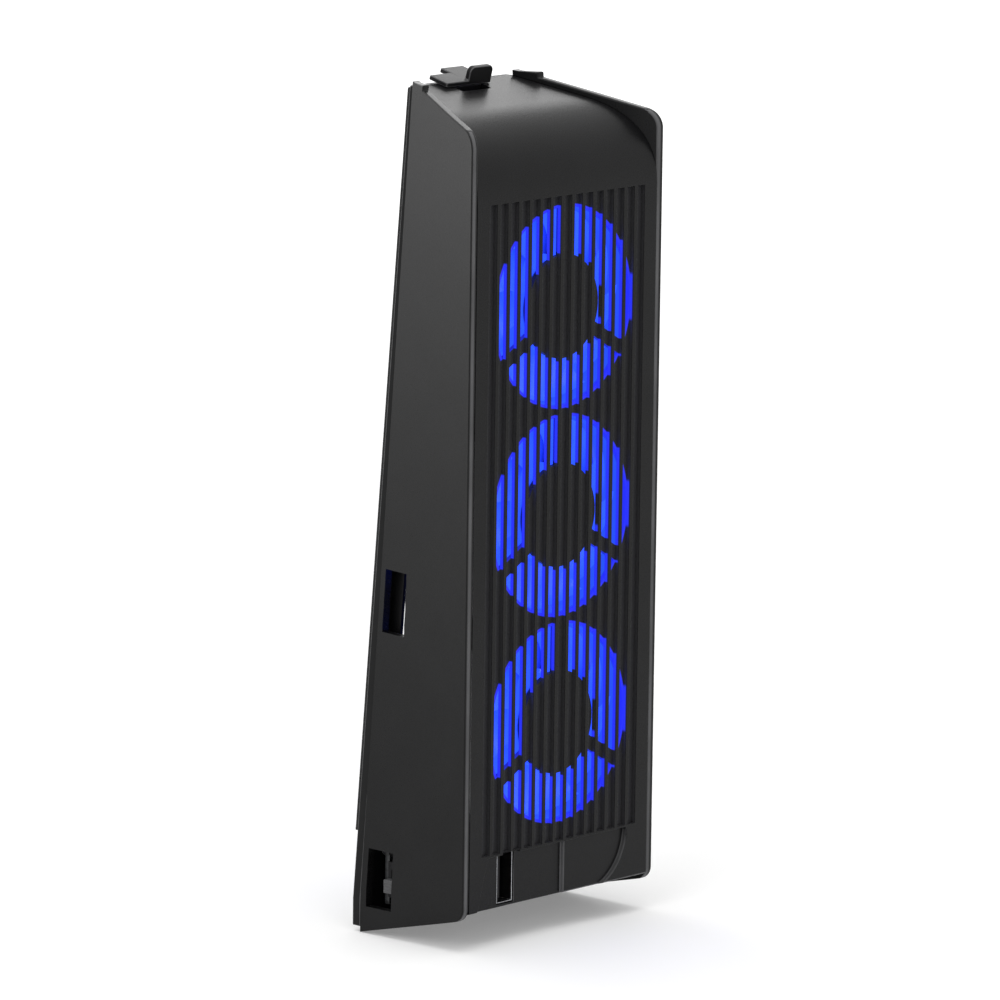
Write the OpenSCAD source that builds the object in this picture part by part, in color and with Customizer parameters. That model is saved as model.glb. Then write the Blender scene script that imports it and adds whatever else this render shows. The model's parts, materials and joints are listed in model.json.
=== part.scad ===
// Clip-on cooler with three fans behind a grooved grille, flared cheeks, a data port and a plug.
// +X is to the right for someone facing the grille, -Y is the rear, where the air leaves, and +Z is up.
// The origin is in the plane of the foam seal's face, at half the height of the straight rear edges.

/* [Overall] */
// Width across the cheeks at the rear
unit_w = 70; // [66:1:90]
// Height of the straight rear edges
rear_h = 190; // [184:1:240]
// Depth from the rear face to the seal's face
unit_d = 38; // [31:0.5:42]

/* [Cheeks] */
// Thickness of a cheek
cheek_t = 2.2; // [1.6:0.1:2.6]
// Inward run of the cheeks per unit of depth, at the top of the rear edge
flare = 0.44; // [0.3:0.01:0.46]
// Rise of the cheeks' top edge per unit of depth
top_rise = 0.26; // [0.1:0.01:0.3]
// Fall of the cheeks' bottom edge per unit of depth
bottom_fall = 0.24; // [0.1:0.01:0.3]
// Height of the top edge's line over the straight rear edge
shoulder = 2; // [1:0.1:4]
// Radius of the upper rear corner
corner_top_r = 5; // [2:0.5:8]
// Radius of the lower rear corner
corner_low_r = 3.5; // [2:0.5:6]
// How far the cheeks stand above the shell's top and below its bottom
cheek_step = 1.3; // [0.8:0.1:2.5]
// Length and height of the bump near the front of a cheek's top edge
bump = [5, 1.3]; // [1:0.1:8]
// Length of the cheek windows along the depth
window_len = 8.4; // [6:0.1:9]
// Bottom and top of the upper window
vent_z = [-28.5, -13]; // [-60:0.5:60]
// Bottom and top of the switch window, over the bottom of the rear edge
pocket_up = [-1.5, 13]; // [-2:0.5:14]

/* [Shell] */
// Wall of the rear shell
wall = 2.4; // [2:0.1:3.2]
// Gap between the shell and the cheeks
seam = 0.2; // [0.1:0.05:0.3]
// Depth at which the curve from the back to the top ends
crown_d = 17.5; // [10:0.5:24]
// Drop from the top of the rear edge to the start of that curve
crown_drop = 15; // [12:0.5:16]
// Depth of the shallow panel under the grille
panel_depth = 1; // [0.4:0.1:1.4]
// Depth of the port's panel below the shallow panel
port_step = 1; // [0.4:0.1:1.4]
// Radius of the panel's lower right corner
panel_r = 14; // [4:0.5:15]
// Right edge of the port's panel
port_panel_x = 2.8; // [0:0.1:8]

/* [Grille] */
// Number of grooves
groove_n = 15; // [9:2:15]
// Spacing of the grooves
groove_pitch = 3.85; // [3.4:0.05:3.9]
// Width of a groove
groove_w = 2.7; // [1.5:0.1:3]
// Depth of a groove
groove_depth = 1.2; // [0.6:0.1:1.2]
// Margins of the groove field at the bottom and at the top
grille_margin = [14.8, 15.4]; // [14:0.1:20]
// Width of the spokes between the arc outlets
spoke_w = 3.3; // [2:0.1:6]

/* [Fans] */
// Side of a square fan frame
fan_size = 51; // [42:0.5:52]
// Thickness of a fan frame
fan_t = 12; // [12:0.1:13.5]
// Thinnest wall round a fan's bore
fan_wall = 1.2; // [0.8:0.1:2]
// Gap between neighbouring fan frames
fan_gap = 0.5; // [0.3:0.1:2]
// Height of the middle fan's axis
fan_mid_z = 0.8; // [-1:0.1:2]
// Distance from a frame's edge to its screw holes
hole_inset = 5.5; // [5:0.1:6]
// Diameter of the rotor's hub
hub_d = 24; // [22:0.5:26]
// Gap between the blade tips and the bore
tip_gap = 0.7; // [0.4:0.1:1.5]
// Number of blades
blade_n = 11; // [5:1:11]
// Thickness of a blade
blade_t = 1.1; // [0.8:0.1:1.6]
// Pitch angle of a blade
blade_pitch = 24; // [22:1:50]
// Diameter of the shaft
shaft_d = 2; // [1.5:0.1:3]
// Radial running clearance of the shaft
shaft_gap = 0.05; // [0.02:0.01:0.1]
// Outer diameter of the sleeve bearing
bearing_d = 6; // [5:0.1:7.2]
// Wall of the bearing tube
tube_wall = 1; // [0.8:0.1:1.2]
// Outer diameter of the stator's poles
stator_d = 17.2; // [15:0.1:17.4]
// Air gap between the poles and the magnet
air_gap = 0.4; // [0.3:0.05:0.6]
// Diameter of a lamp
lamp_d = 3; // [2:0.1:3.5]
// Length of a lamp
lamp_len = 4.5; // [3:0.1:5]

/* [Ports] */
// Width and height of the port's metal shell
port_size = [5.7, 12.8]; // [4:0.1:16]
// Place of the port: X, and height over the bottom of the rear edge
port_place = [-17.5, 8]; // [-20:0.1:10]
// Width and height of the plug's metal shell
plug_size = [4.5, 12]; // [4:0.1:16]
// Place of the plug: X, and height over the bottom of the rear edge
plug_place = [0, 5]; // [-4:0.1:8]
// How far the plug reaches past the seal's face
plug_reach = 11.75; // [8:0.05:14]
// Wall of the metal shells
tin = 0.3; // [0.2:0.05:0.5]

/* [Boards] */
// Thickness of the circuit boards
board_t = 1.6; // [0.8:0.1:2]
// Distance from the rear face to the port board
port_board_d = 14.8; // [13:0.1:16]
// Distance from the main board's rear side to the front frame
main_board_gap = 6; // [5:0.1:8]
// Diameter of a fan lead
lead_d = 1.4; // [1:0.1:1.5]

/* [Front frame] */
// Thickness of the front frame
frame_t = 2.6; // [2:0.1:3]
// Thickness of the foam seal
seal_t = 1.4; // [1:0.1:3]
// Width of the frame's border round the air mouth
frame_border = 4.8; // [4:0.1:6]
// Margins of the air mouth: over the bottom of the rear edge, and under the frame's top edge
mouth_margin = [19, 9.5]; // [9:0.5:24]

/* [Latch] */
// Left and right edges of the latch plate
latch_x = [-10.5, 5.5]; // [-12:0.5:12]
// Thickness of the latch plate
latch_t = 1.2; // [0.8:0.1:1.6]
// Rear and front edges of the latch plate along the slope
latch_y = [2.4, 8.4]; // [2:0.1:9]
// Reach of the hook past the plate
hook_len = 3.4; // [2:0.1:5]
// Height of the thumb tab over the plate
tab_h = 3.4; // [1:0.1:4]
// Travel of the latch
latch_travel = 3; // [1:0.1:3]
// Sliding clearance of the latch
latch_gap = 0.2; // [0.1:0.05:0.4]

/* [Switch] */
// Travel of the switch knob
knob_travel = 2.5; // [1:0.1:3]
// Height of the switch's middle over the bottom of the rear edge
switch_up = 5.5; // [4:0.1:7]
// Side of the knob's square cap
knob_cap = 3.4; // [2.5:0.1:4]

/* [Fasteners] */
// Thread diameter of the screws
screw_d = 1.6; // [1.4:0.1:2]
// Head diameter of the screws
head_d = 5; // [3.5:0.1:5]
// Head height of the screws
head_h = 1.4; // [1:0.1:2]
// Outer diameter of the fan posts
post_d = 3.8; // [3.2:0.1:4]
// Outer diameter of the board and frame posts
boss_d = 5.2; // [4.4:0.1:6]
// Gap round a post or a screw
fit_gap = 0.2; // [0.1:0.05:0.3]
// Gap of a seated fit
seat_gap = 0.02; // [0.01:0.01:0.05]

/* [Hidden] */
$fn = 64;
// Overrun of a cut, a hair's overlap, and how far joined shapes reach into each other
past = 1;
sliver = 0.01;
root = 0.5;
half_w = unit_w / 2;
half_h = rear_h / 2;
crown_z = half_h - crown_drop;
grille_z = [grille_margin[0] - half_h, half_h - grille_margin[1]];
pocket_z = [pocket_up[0] - half_h, pocket_up[1] - half_h];
port_at = [port_place[0], port_place[1] - half_h];
plug_at = [plug_place[0], plug_place[1] - half_h];
switch_z = switch_up - half_h;
fan_bore = fan_size - 2 * fan_wall;
fan_pitch = fan_size + fan_gap;
hole_pitch = fan_size - 2 * hole_inset;
FANS = [fan_mid_z + fan_pitch, fan_mid_z, fan_mid_z - fan_pitch];

// Depths measured from the rear face
frame_d = unit_d - seal_t - frame_t;
seal_d = unit_d - seal_t;
fan_d = wall;
fan_front_d = fan_d + fan_t;
low_wall_d = panel_depth + port_step + wall;
main_board_d = frame_d - main_board_gap;
main_front_d = main_board_d + board_t;
port_front_d = port_board_d + board_t;

// Inward run of a cheek per unit of depth, at height z
function lean(z) = flare * max(0, z + half_h) / rear_h;
// Half width of the unit at depth d and height z
function side_x(d, z) = half_w - lean(z) * d;
// Edges of the cheeks and faces of the shell, at depth d
function cheek_top(d) = half_h + shoulder + top_rise * d;
function cheek_low(d) = -half_h - bottom_fall * d;
function shell_top(d) = cheek_top(d) - cheek_step;
function shell_low(d) = cheek_low(d) + cheek_step;
// Quadratic curve through three control points
function curve(p, t) = (1 - t) * (1 - t) * p[0] + 2 * t * (1 - t) * p[1] + t * t * p[2];

mouth_z = [mouth_margin[0] - half_h, shell_top(frame_d) - mouth_margin[1]];
top_angle = atan(top_rise);
shell_half = half_w - cheek_t - seam;
top_lean = lean(cheek_top(unit_d)) + sliver;

// Fan stack, measured along the axis from the frame's rear face
bore_r = fan_bore / 2;
base_t = 2;
base_z = fan_t - base_t;
cup_z = 1.2;
cup_wall = 1.2;
cup_side = 1.1;
rotor_gap = 0.6;
cup_end = base_z - rotor_gap;
hub_r = hub_d / 2;
cup_r = hub_r - cup_side;
blade_r = bore_r - tip_gap;
blade_back = 0.4;
blade_z = cup_z + blade_back;
shaft_r = shaft_d / 2;
shaft_z = cup_z + 0.5;
shaft_end = base_z - 0.3;
bearing_r = bearing_d / 2;
tube_r = bearing_r + tube_wall;
tube_gap = 1;
tube_z = cup_z + cup_wall + tube_gap;
pole_r = stator_d / 2;
magnet_r = pole_r + air_gap;
core_in = [0.6, 2.2];
core_z = [tube_z + core_in[0], base_z - core_in[1]];
core_wall = 1;
shoe_t = 1.2;
arm_w = 2.2;
coil_in = [1.2, 1.9];
coil_r = [tube_r + coil_in[0], pole_r - coil_in[1]];
coil_side = 1.2;
coil_over = 0.6;
magnet_back = 1.4;
fan_board_t = 1;
lamp_angle = 33;
lamp_sink = 0.4;
strut_w = 2.6;

// Places of the screws that hold boards and front frame, in X and Z
boss_r = boss_d / 2;
post_run = 12;
post_start_d = frame_d - post_run;
post_inset = [6.9, 6];
post_side_gap = 0.5;
low_post_x = 22;
frame_post_x = side_x(unit_d, cheek_top(unit_d)) - cheek_t - boss_r - post_side_gap;
frame_post_z = [shell_low(frame_d) + post_inset[0], shell_top(frame_d) - post_inset[1]];
BOARD_POSTS = [[24, 12 - half_h], [-4.5, 13 - half_h], [-29, 13 - half_h]];
PORT_POSTS = [[port_at[0] - 6, port_at[1] + 5], [port_at[0] + 7, port_at[1] - 3.9]];
FRAME_POSTS = [
  [-frame_post_x, frame_post_z[1]], [frame_post_x, frame_post_z[1]],
  [-low_post_x, frame_post_z[0]], [low_post_x, frame_post_z[0]]
];
thread_len = 6;
screw_end = 0.5;

// Leads: one for each fan, from its hub to a socket on the main board
lead_r = lead_d / 2;
lead_in = 0.4;
lead_x = -fan_size / 2 + lead_r + lead_in;
lead_start_x = -10;
lead_pitch = lead_d + fit_gap;
lead_turn_z = FANS[2] - hole_pitch / 2 - head_d / 2 - lead_r - fit_gap;
SOCKET_X = [16, 10, 4];
socket_size = [4.8, 4, 3.5];
socket_top = 10.5 - half_h;
socket_rim = 0.4;
socket_mid_d = main_board_d - socket_size[1] / 2;

board_low_z = -half_h - 1;
board_top_z = 15.5 - half_h;
main_x = [-31, 27];
port_x = [port_at[0] - 8.5, port_at[0] + 9.5];
port_board_up = 2.4;

switch_size = [4.4, 4.8, 9];
switch_x = -31.6;
switch_mid_d = main_board_d - switch_size[1] / 2;
knob_stem = 2;
knob_in = 0.9;
knob_back = 1;
knob_gap = 0.3;
window_fore = 2.4;
window_back = switch_mid_d - window_len / 2 + window_fore;

latch_back = 5.4;
latch_d = frame_d - latch_back;
tab_w = 8.2;
tab_t = 1.4;
tab_r = 1.5;
stem_x = [-7.5, 2.5];
stem_y = [2.6, 4.1];
retainer_rim = 1;
retainer_t = 1.2;
hook_x = [-3, 5];

// Moves what is drawn from the rear face forward, with Y as depth, into the part's frame
module from_rear() {
  translate([0, -unit_d, 0]) children();
}

// Extrudes an outline of depth and height across the width
module across(x0, x1) {
  translate([x0, 0, 0]) rotate([90, 0, 90]) linear_extrude(x1 - x0) children();
}

// Extrudes an outline of X and Z from depth d0 to depth d1
module deep(d0, d1) {
  translate([0, d1, 0]) rotate([90, 0, 0]) linear_extrude(d1 - d0) children();
}

// A box between two corners
module box(a, b) {
  translate(a) cube(b - a);
}

// A rod of radius r along the depth, at a place in X and Z
module rod(at, d0, d1, r) {
  translate([at[0], d0, at[1]]) rotate([-90, 0, 0]) cylinder(h = d1 - d0, r = r);
}

// Places a fan's own frame: its Z axis runs forward from the frame's rear face
module fan_place(z) {
  from_rear() translate([0, fan_d, z]) rotate([-90, 0, 0]) children();
}

// A ring about the Z axis
module ring(r0, r1, z0, z1) {
  translate([0, 0, z0]) difference() {
    cylinder(h = z1 - z0, r = r1);
    translate([0, 0, -past]) cylinder(h = z1 - z0 + 2 * past, r = r0);
  }
}

// The four corners of a square pattern
module corners(pitch) {
  for (x = [-1, 1], y = [-1, 1]) translate([x * pitch / 2, y * pitch / 2]) children();
}

// Outline of a cheek in depth and height, with its rear corners rounded
module cheek_outline() {
  bump_back = 1;
  bump_end = frame_d - bump_back;
  up = [-top_rise, 1] / norm([top_rise, 1]);
  down = [-bottom_fall, -1] / norm([bottom_fall, 1]);
  top_mid = [corner_top_r, cheek_top(corner_top_r) - corner_top_r * norm([top_rise, 1])];
  low_mid = [corner_low_r, cheek_low(corner_low_r) + corner_low_r * norm([bottom_fall, 1])];
  polygon([
    [0, low_mid[1]], low_mid + corner_low_r * down, [frame_d, cheek_low(frame_d)],
    [frame_d, cheek_top(frame_d)], top_mid + corner_top_r * up, [0, top_mid[1]]
  ]);
  translate(top_mid) circle(corner_top_r);
  translate(low_mid) circle(corner_low_r);
  translate([bump_end - bump[0], cheek_top(bump_end - bump[0]) - bump[1]]) square([bump[0], 2 * bump[1]]);
}

// Slab between a cheek's outer and inner face, whose lean grows with height
module cheek_slab() {
  rows = 36;
  low = cheek_low(unit_d) - past;
  high = cheek_top(unit_d) + bump[1] + past;
  back = -past;
  front = unit_d;
  zs = [for (i = [0:rows]) low + (high - low) * i / rows];
  points = [for (z = zs) each [
    [side_x(back, z), back, z], [side_x(front, z), front, z],
    [side_x(front, z) - cheek_t, front, z], [side_x(back, z) - cheek_t, back, z]
  ]];
  sides = [for (i = [0:rows - 1], k = [0:3]) each [
    [4 * i + k, 4 * i + 4 + k, 4 * i + (k + 1) % 4],
    [4 * i + (k + 1) % 4, 4 * i + 4 + k, 4 * i + 4 + (k + 1) % 4]
  ]];
  polyhedron(points, concat([[0, 1, 2], [0, 2, 3]], sides,
    [[4 * rows + 2, 4 * rows + 1, 4 * rows], [4 * rows + 3, 4 * rows + 2, 4 * rows]]));
}

// A cheek on the right side, with snap tabs behind the back wall
module cheek(pocket) {
  snap_reach = 3;
  snap_h = 8;
  snap_t = 1.8;
  snap_zs = [FANS[0] - fan_pitch / 2, FANS[1] - fan_pitch / 2];
  difference() {
    intersection() {
      cheek_slab();
      across(0, unit_w) cheek_outline();
    }
    box([0, window_back, vent_z[0]], [unit_w, window_back + window_len, vent_z[1]]);
    if (pocket) box([0, window_back, pocket_z[0]], [unit_w, window_back + window_len, pocket_z[1]]);
  }
  for (z = snap_zs) {
    box([side_x(wall, z) - cheek_t - snap_reach, wall + seam, z - snap_h / 2],
        [side_x(wall, z) - cheek_t + root, wall + seam + snap_t, z + snap_h / 2]);
  }
}

// Profile of the back wall's curve and the top wall, in depth and height
module crown_profile() {
  steps = 12;
  outer = [[crown_d, shell_top(crown_d)], [0, shell_top(0)], [0, crown_z]];
  inner = [[crown_d, shell_top(crown_d) - wall], [wall, shell_top(wall) - wall], [wall, crown_z]];
  polygon(concat(
    [[frame_d, shell_top(frame_d)]],
    [for (i = [0:steps]) curve(outer, i / steps)],
    [for (i = [steps:-1:0]) curve(inner, i / steps)],
    [[frame_d, shell_top(frame_d) - wall]]
  ));
}

// Outline of the shallow panel under the grille, in X and Z
module panel_outline() {
  panel_gap = 0.6;
  left = -26;
  left_low = -30;
  right = 25;
  arc_x = right - panel_r;
  low = shell_low(0) - past;
  high = grille_z[0] - panel_gap;
  polygon([[left_low, low], [left, high], [arc_x, high], [arc_x, low]]);
  translate([arc_x, high]) intersection() {
    circle(panel_r);
    translate([-sliver, -panel_r]) square(panel_r);
  }
}

// Three arc outlets round a fan's hub, in X and Z
module outlets(z) {
  bore_over = 0.1;
  hub_over = 0.8;
  translate([0, z]) difference() {
    circle(bore_r + bore_over);
    circle(hub_r + hub_over);
    for (a = [90, 210, 330]) rotate(a) translate([0, -spoke_w / 2]) square([unit_w, spoke_w]);
  }
}

module rear_shell() {
  groove_x = (groove_n - 1) / 2 * groove_pitch;
  pad_in = 2;
  color([0.1, 0.1, 0.105]) from_rear() difference() {
    union() {
      // Back wall, its sides drawn in as the cheeks lean
      translate([0, 0, shell_low(0)]) linear_extrude(crown_z - shell_low(0))
        polygon([[-shell_half, 0], [shell_half, 0], [shell_half - top_lean * wall, wall],
                 [top_lean * wall - shell_half, wall]]);
      // Thicker wall round the port
      box([pad_in - shell_half, wall / 2, shell_low(0)], [shell_half - pad_in, low_wall_d, grille_z[0] + past]);
      // Top wall
      intersection() {
        across(-half_w, half_w) crown_profile();
        translate([0, 0, crown_z]) linear_extrude(rear_h)
          polygon([[-shell_half, 0], [shell_half, 0], [shell_half - top_lean * unit_d, unit_d],
                   [top_lean * unit_d - shell_half, unit_d]]);
      }
      // Bottom wall
      across(-shell_half, shell_half) polygon([
        [0, shell_low(0)], [frame_d, shell_low(frame_d)],
        [frame_d, shell_low(frame_d) + wall], [0, shell_low(0) + wall]
      ]);
      for (z = FANS, x = [-1, 1], k = [-1, 1])
        rod([x * hole_pitch / 2, z + k * hole_pitch / 2], wall / 2, fan_front_d - fit_gap, post_d / 2);
      for (at = BOARD_POSTS) rod(at, wall, main_board_d, boss_r);
      for (at = PORT_POSTS) rod(at, wall, port_board_d, boss_r);
      for (at = FRAME_POSTS) rod(at, post_start_d, frame_d, boss_r);
    }
    for (i = [0:groove_n - 1])
      translate([i * groove_pitch - groove_x - groove_w / 2, -past, grille_z[0]])
        cube([groove_w, past + groove_depth, grille_z[1] - grille_z[0]]);
    for (z = FANS) deep(groove_depth, wall + past) outlets(z);
    deep(-past, panel_depth) panel_outline();
    deep(-past, panel_depth + port_step) intersection() {
      panel_outline();
      translate([port_panel_x - unit_w, -rear_h]) square([unit_w, rear_h]);
    }
    box([port_at[0] - port_size[0] / 2 - fit_gap, -past, port_at[1] - port_size[1] / 2 - fit_gap],
        [port_at[0] + port_size[0] / 2 + fit_gap, port_board_d, port_at[1] + port_size[1] / 2 + fit_gap]);
    for (z = FANS, x = [-1, 1], k = [-1, 1])
      rod([x * hole_pitch / 2, z + k * hole_pitch / 2], fan_front_d - thread_len, unit_d,
          screw_d / 2 + seat_gap);
    for (at = BOARD_POSTS) rod(at, main_board_d - thread_len, unit_d, screw_d / 2 + seat_gap);
    for (at = PORT_POSTS) rod(at, port_board_d - thread_len, unit_d, screw_d / 2 + seat_gap);
    for (at = FRAME_POSTS) rod(at, frame_d - thread_len, unit_d, screw_d / 2 + seat_gap);
    latch_frame() box([stem_x[0] - latch_gap, stem_y[0] - latch_travel - latch_gap, -2 * wall],
                      [stem_x[1] + latch_gap, stem_y[1] + latch_gap, wall]);
  }
}

module left_cheek() {
  color([0.12, 0.12, 0.125]) from_rear() mirror([1, 0, 0]) cheek(true);
}

module right_cheek() {
  color([0.12, 0.12, 0.125]) from_rear() cheek(false);
}

// Outline of the front frame drawn in by a border, in X and Z, between two heights
module front_outline(border, z0, z1) {
  knee = max(z0, -half_h);
  x0 = side_x(unit_d, z0) - border;
  x1 = side_x(unit_d, knee) - border;
  x2 = side_x(unit_d, z1) - border;
  polygon([[-x0, z0], [x0, z0], [x1, knee + sliver], [x2, z1], [-x2, z1], [-x1, knee + sliver]]);
}

module front_frame() {
  plug_slot = plug_size + [2 * fit_gap, 2 * fit_gap];
  color([0.09, 0.09, 0.095]) from_rear() difference() {
    deep(frame_d, seal_d) difference() {
      front_outline(0, shell_low(frame_d), shell_top(frame_d));
      front_outline(frame_border, mouth_z[0], mouth_z[1]);
      translate(plug_at - plug_slot / 2) square(plug_slot);
    }
    for (at = FRAME_POSTS) rod(at, frame_d - past, unit_d, screw_d / 2 + fit_gap);
    for (at = FRAME_POSTS) rod(at, seal_d - head_h, unit_d, head_d / 2 + fit_gap);
  }
}

module mouth_seal() {
  foam_in = 0.6;
  foam_rim = 2.4;
  color([0.2, 0.2, 0.2]) from_rear() deep(seal_d, unit_d) difference() {
    front_outline(foam_in, mouth_z[0] - foam_rim, shell_top(frame_d) - foam_in);
    front_outline(frame_border - foam_in, mouth_z[0] - foam_in / 2, mouth_z[1] - fit_gap);
    for (at = FRAME_POSTS) translate(at) circle(head_d / 2 + fit_gap);
  }
}

module fan_frame(z) {
  plate_rim = 1;
  strut_len = bore_r - tube_r + root;
  color([0.08, 0.08, 0.085]) fan_place(z) difference() {
    union() {
      difference() {
        translate([-fan_size / 2, -fan_size / 2, 0]) cube([fan_size, fan_size, fan_t]);
        translate([0, 0, -past]) cylinder(h = fan_t + 2 * past, r = bore_r);
      }
      translate([0, 0, base_z]) cylinder(h = base_t, r = hub_r + plate_rim);
      for (a = [0:90:270]) rotate(a)
        translate([tube_r, -strut_w / 2, base_z]) cube([strut_len, strut_w, base_t]);
      ring(bearing_r, tube_r, tube_z, base_z + root);
    }
    translate([0, 0, tube_z]) cylinder(h = base_z - tube_z, r = bearing_r);
    translate([0, 0, -past]) corners(hole_pitch) cylinder(h = fan_t + 2 * past, r = post_d / 2 + fit_gap);
    for (k = [0:3]) rotate(90 * k + lamp_angle) translate([bore_r - past, 0, fan_t / 2]) rotate([0, 90, 0])
      cylinder(h = past + lamp_sink + lamp_len + seat_gap, r = lamp_d / 2 + seat_gap);
  }
}

module fan_rotor(z) {
  chord_over = 4;
  collar_t = 1.5;
  collar_gap = 0.3;
  chord = (cup_end - blade_z) / sin(blade_pitch) + chord_over;
  color([0.2, 0.35, 0.95]) fan_place(z) difference() {
    union() {
      translate([0, 0, cup_z]) cylinder(h = cup_end - cup_z, r = hub_r);
      intersection() {
        ring(hub_r - root, blade_r, blade_z, cup_end);
        for (i = [0:blade_n - 1]) rotate(360 / blade_n * i)
          translate([hub_r - root, 0, (blade_z + cup_end) / 2]) rotate([blade_pitch, 0, 0])
            translate([0, -chord / 2, -blade_t / 2]) cube([blade_r, chord, blade_t]);
      }
    }
    translate([0, 0, cup_z + cup_wall]) ring(shaft_r + collar_t, cup_r, 0, fan_t);
    translate([0, 0, tube_z - collar_gap]) cylinder(h = fan_t, r = cup_r);
    translate([0, 0, shaft_z]) cylinder(h = fan_t, r = shaft_r + seat_gap);
  }
}

module fan_shaft(z) {
  color([0.75, 0.76, 0.78]) fan_place(z)
    translate([0, 0, shaft_z]) cylinder(h = shaft_end - shaft_z, r = shaft_r);
}

module fan_bearing(z) {
  color([0.7, 0.55, 0.3]) fan_place(z)
    ring(shaft_r + shaft_gap, bearing_r - seat_gap, tube_z + fit_gap, base_z);
}

module fan_stator(z) {
  high = core_z[1] - core_z[0];
  color([0.55, 0.56, 0.58]) fan_place(z) {
    ring(tube_r + seat_gap, tube_r + core_wall, core_z[0], core_z[1]);
    difference() {
      translate([0, 0, core_z[0]]) union() {
        for (a = [45:90:315]) rotate(a) translate([tube_r + root, -arm_w / 2, 0])
          cube([pole_r - tube_r - 2 * root, arm_w, high]);
        intersection() {
          ring(pole_r - shoe_t, pole_r, 0, high);
          for (a = [45:90:315]) rotate(a) translate([0, -pole_r / 2, 0]) cube([pole_r, pole_r, high]);
        }
      }
      cylinder(h = fan_t, r = tube_r + seat_gap);
    }
  }
}

module fan_coils(z) {
  high = core_z[1] - core_z[0];
  color([0.75, 0.4, 0.15]) fan_place(z) for (a = [45:90:315]) rotate(a) difference() {
    translate([coil_r[0], -arm_w / 2 - coil_side, core_z[0] - coil_over])
      cube([coil_r[1] - coil_r[0], arm_w + 2 * coil_side, high + 2 * coil_over]);
    translate([0, -arm_w / 2 - seat_gap, core_z[0] - seat_gap])
      cube([pole_r, arm_w + 2 * seat_gap, high + 2 * seat_gap]);
  }
}

module fan_magnet(z) {
  color([0.25, 0.25, 0.27]) fan_place(z)
    ring(magnet_r, cup_r - seat_gap, cup_z + cup_wall, base_z - magnet_back);
}

module fan_board(z) {
  color([0.1, 0.35, 0.2]) fan_place(z)
    ring(tube_r + seat_gap, pole_r - fit_gap, base_z - fan_board_t, base_z);
}

module lamps() {
  color([0.5, 0.6, 1]) for (z = FANS) fan_place(z) for (k = [0:3])
    rotate(90 * k + lamp_angle) translate([bore_r + lamp_sink, 0, fan_t / 2]) rotate([0, 90, 0])
      cylinder(h = lamp_len, r = lamp_d / 2);
}

module port_board() {
  color([0.08, 0.3, 0.18]) from_rear() difference() {
    box([port_x[0], port_board_d, board_low_z + port_board_up], [port_x[1], port_front_d, board_top_z]);
    for (at = PORT_POSTS) rod(at, port_board_d - past, unit_d, screw_d / 2 + fit_gap);
    for (at = FRAME_POSTS) rod(at, port_board_d - past, unit_d, boss_r + fit_gap);
  }
}

module main_board() {
  color([0.08, 0.3, 0.18]) from_rear() difference() {
    box([main_x[0], main_board_d, board_low_z], [main_x[1], main_front_d, board_top_z]);
    for (at = BOARD_POSTS) rod(at, main_board_d - past, unit_d, screw_d / 2 + fit_gap);
    for (at = FRAME_POSTS) rod(at, main_board_d - past, unit_d, boss_r + fit_gap);
  }
}

module board_chips() {
  // Left edge, width, height and thickness of each
  chips = [[4, 6, 6, 1.4], [13, 5, 5, 3]];
  chip_z = -0.5 - half_h;
  color([0.12, 0.12, 0.13]) from_rear() for (chip = chips)
    box([chip[0], main_board_d - chip[3], chip_z], [chip[0] + chip[1], main_board_d, chip_z + chip[2]]);
}

module pin_header() {
  low = port_at + [-3, 1];
  size = [8.5, 2.4];
  color([0.1, 0.1, 0.1]) from_rear()
    box([low[0], port_front_d, low[1]], [low[0] + size[0], main_board_d, low[1] + size[1]]);
}

// A metal shell of a plug or port, open at one end of its run along the depth
module metal_shell(at, size, d0, d1) {
  half = size / 2;
  difference() {
    box([at[0] - half[0], d0, at[1] - half[1]], [at[0] + half[0], d1, at[1] + half[1]]);
    box([at[0] - half[0] + tin, d0 - past, at[1] - half[1] + tin],
        [at[0] + half[0] - tin, d1 + past, at[1] + half[1] - tin]);
  }
}

module usb_port_shell() {
  color([0.55, 0.56, 0.58]) from_rear()
    metal_shell(port_at, port_size, panel_depth + port_step + fit_gap, port_board_d);
}

module usb_port_tongue() {
  inner = port_size / 2 - [tin, tin];
  base_d = 3;
  tongue_rim = 0.5;
  tongue_back = 1.6;
  tongue_side = 1.1;
  tongue = [1.8, 2 * (inner[1] - tongue_rim)];
  tongue_x = port_at[0] - tongue_side;
  color([0.1, 0.1, 0.1]) from_rear() {
    box([port_at[0] - inner[0] + seat_gap, port_board_d - base_d, port_at[1] - inner[1] + seat_gap],
        [port_at[0] + inner[0] - seat_gap, port_board_d, port_at[1] + inner[1] - seat_gap]);
    box([tongue_x - tongue[0] / 2, panel_depth + port_step + tongue_back, port_at[1] - tongue[1] / 2],
        [tongue_x + tongue[0] / 2, port_board_d - base_d, port_at[1] + tongue[1] / 2]);
  }
}

module usb_plug_shell() {
  catch = 2.4;
  catch_back = 6.4;
  catch_side = 2.8;
  catch_d = unit_d + plug_reach - catch_back;
  color([0.75, 0.76, 0.78]) from_rear() difference() {
    metal_shell(plug_at, plug_size, main_front_d, unit_d + plug_reach);
    for (k = [-1, 1])
      box([plug_at[0] - plug_size[0], catch_d, plug_at[1] + k * catch_side - catch / 2],
          [plug_at[0] + plug_size[0], catch_d + catch, plug_at[1] + k * catch_side + catch / 2]);
  }
}

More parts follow.
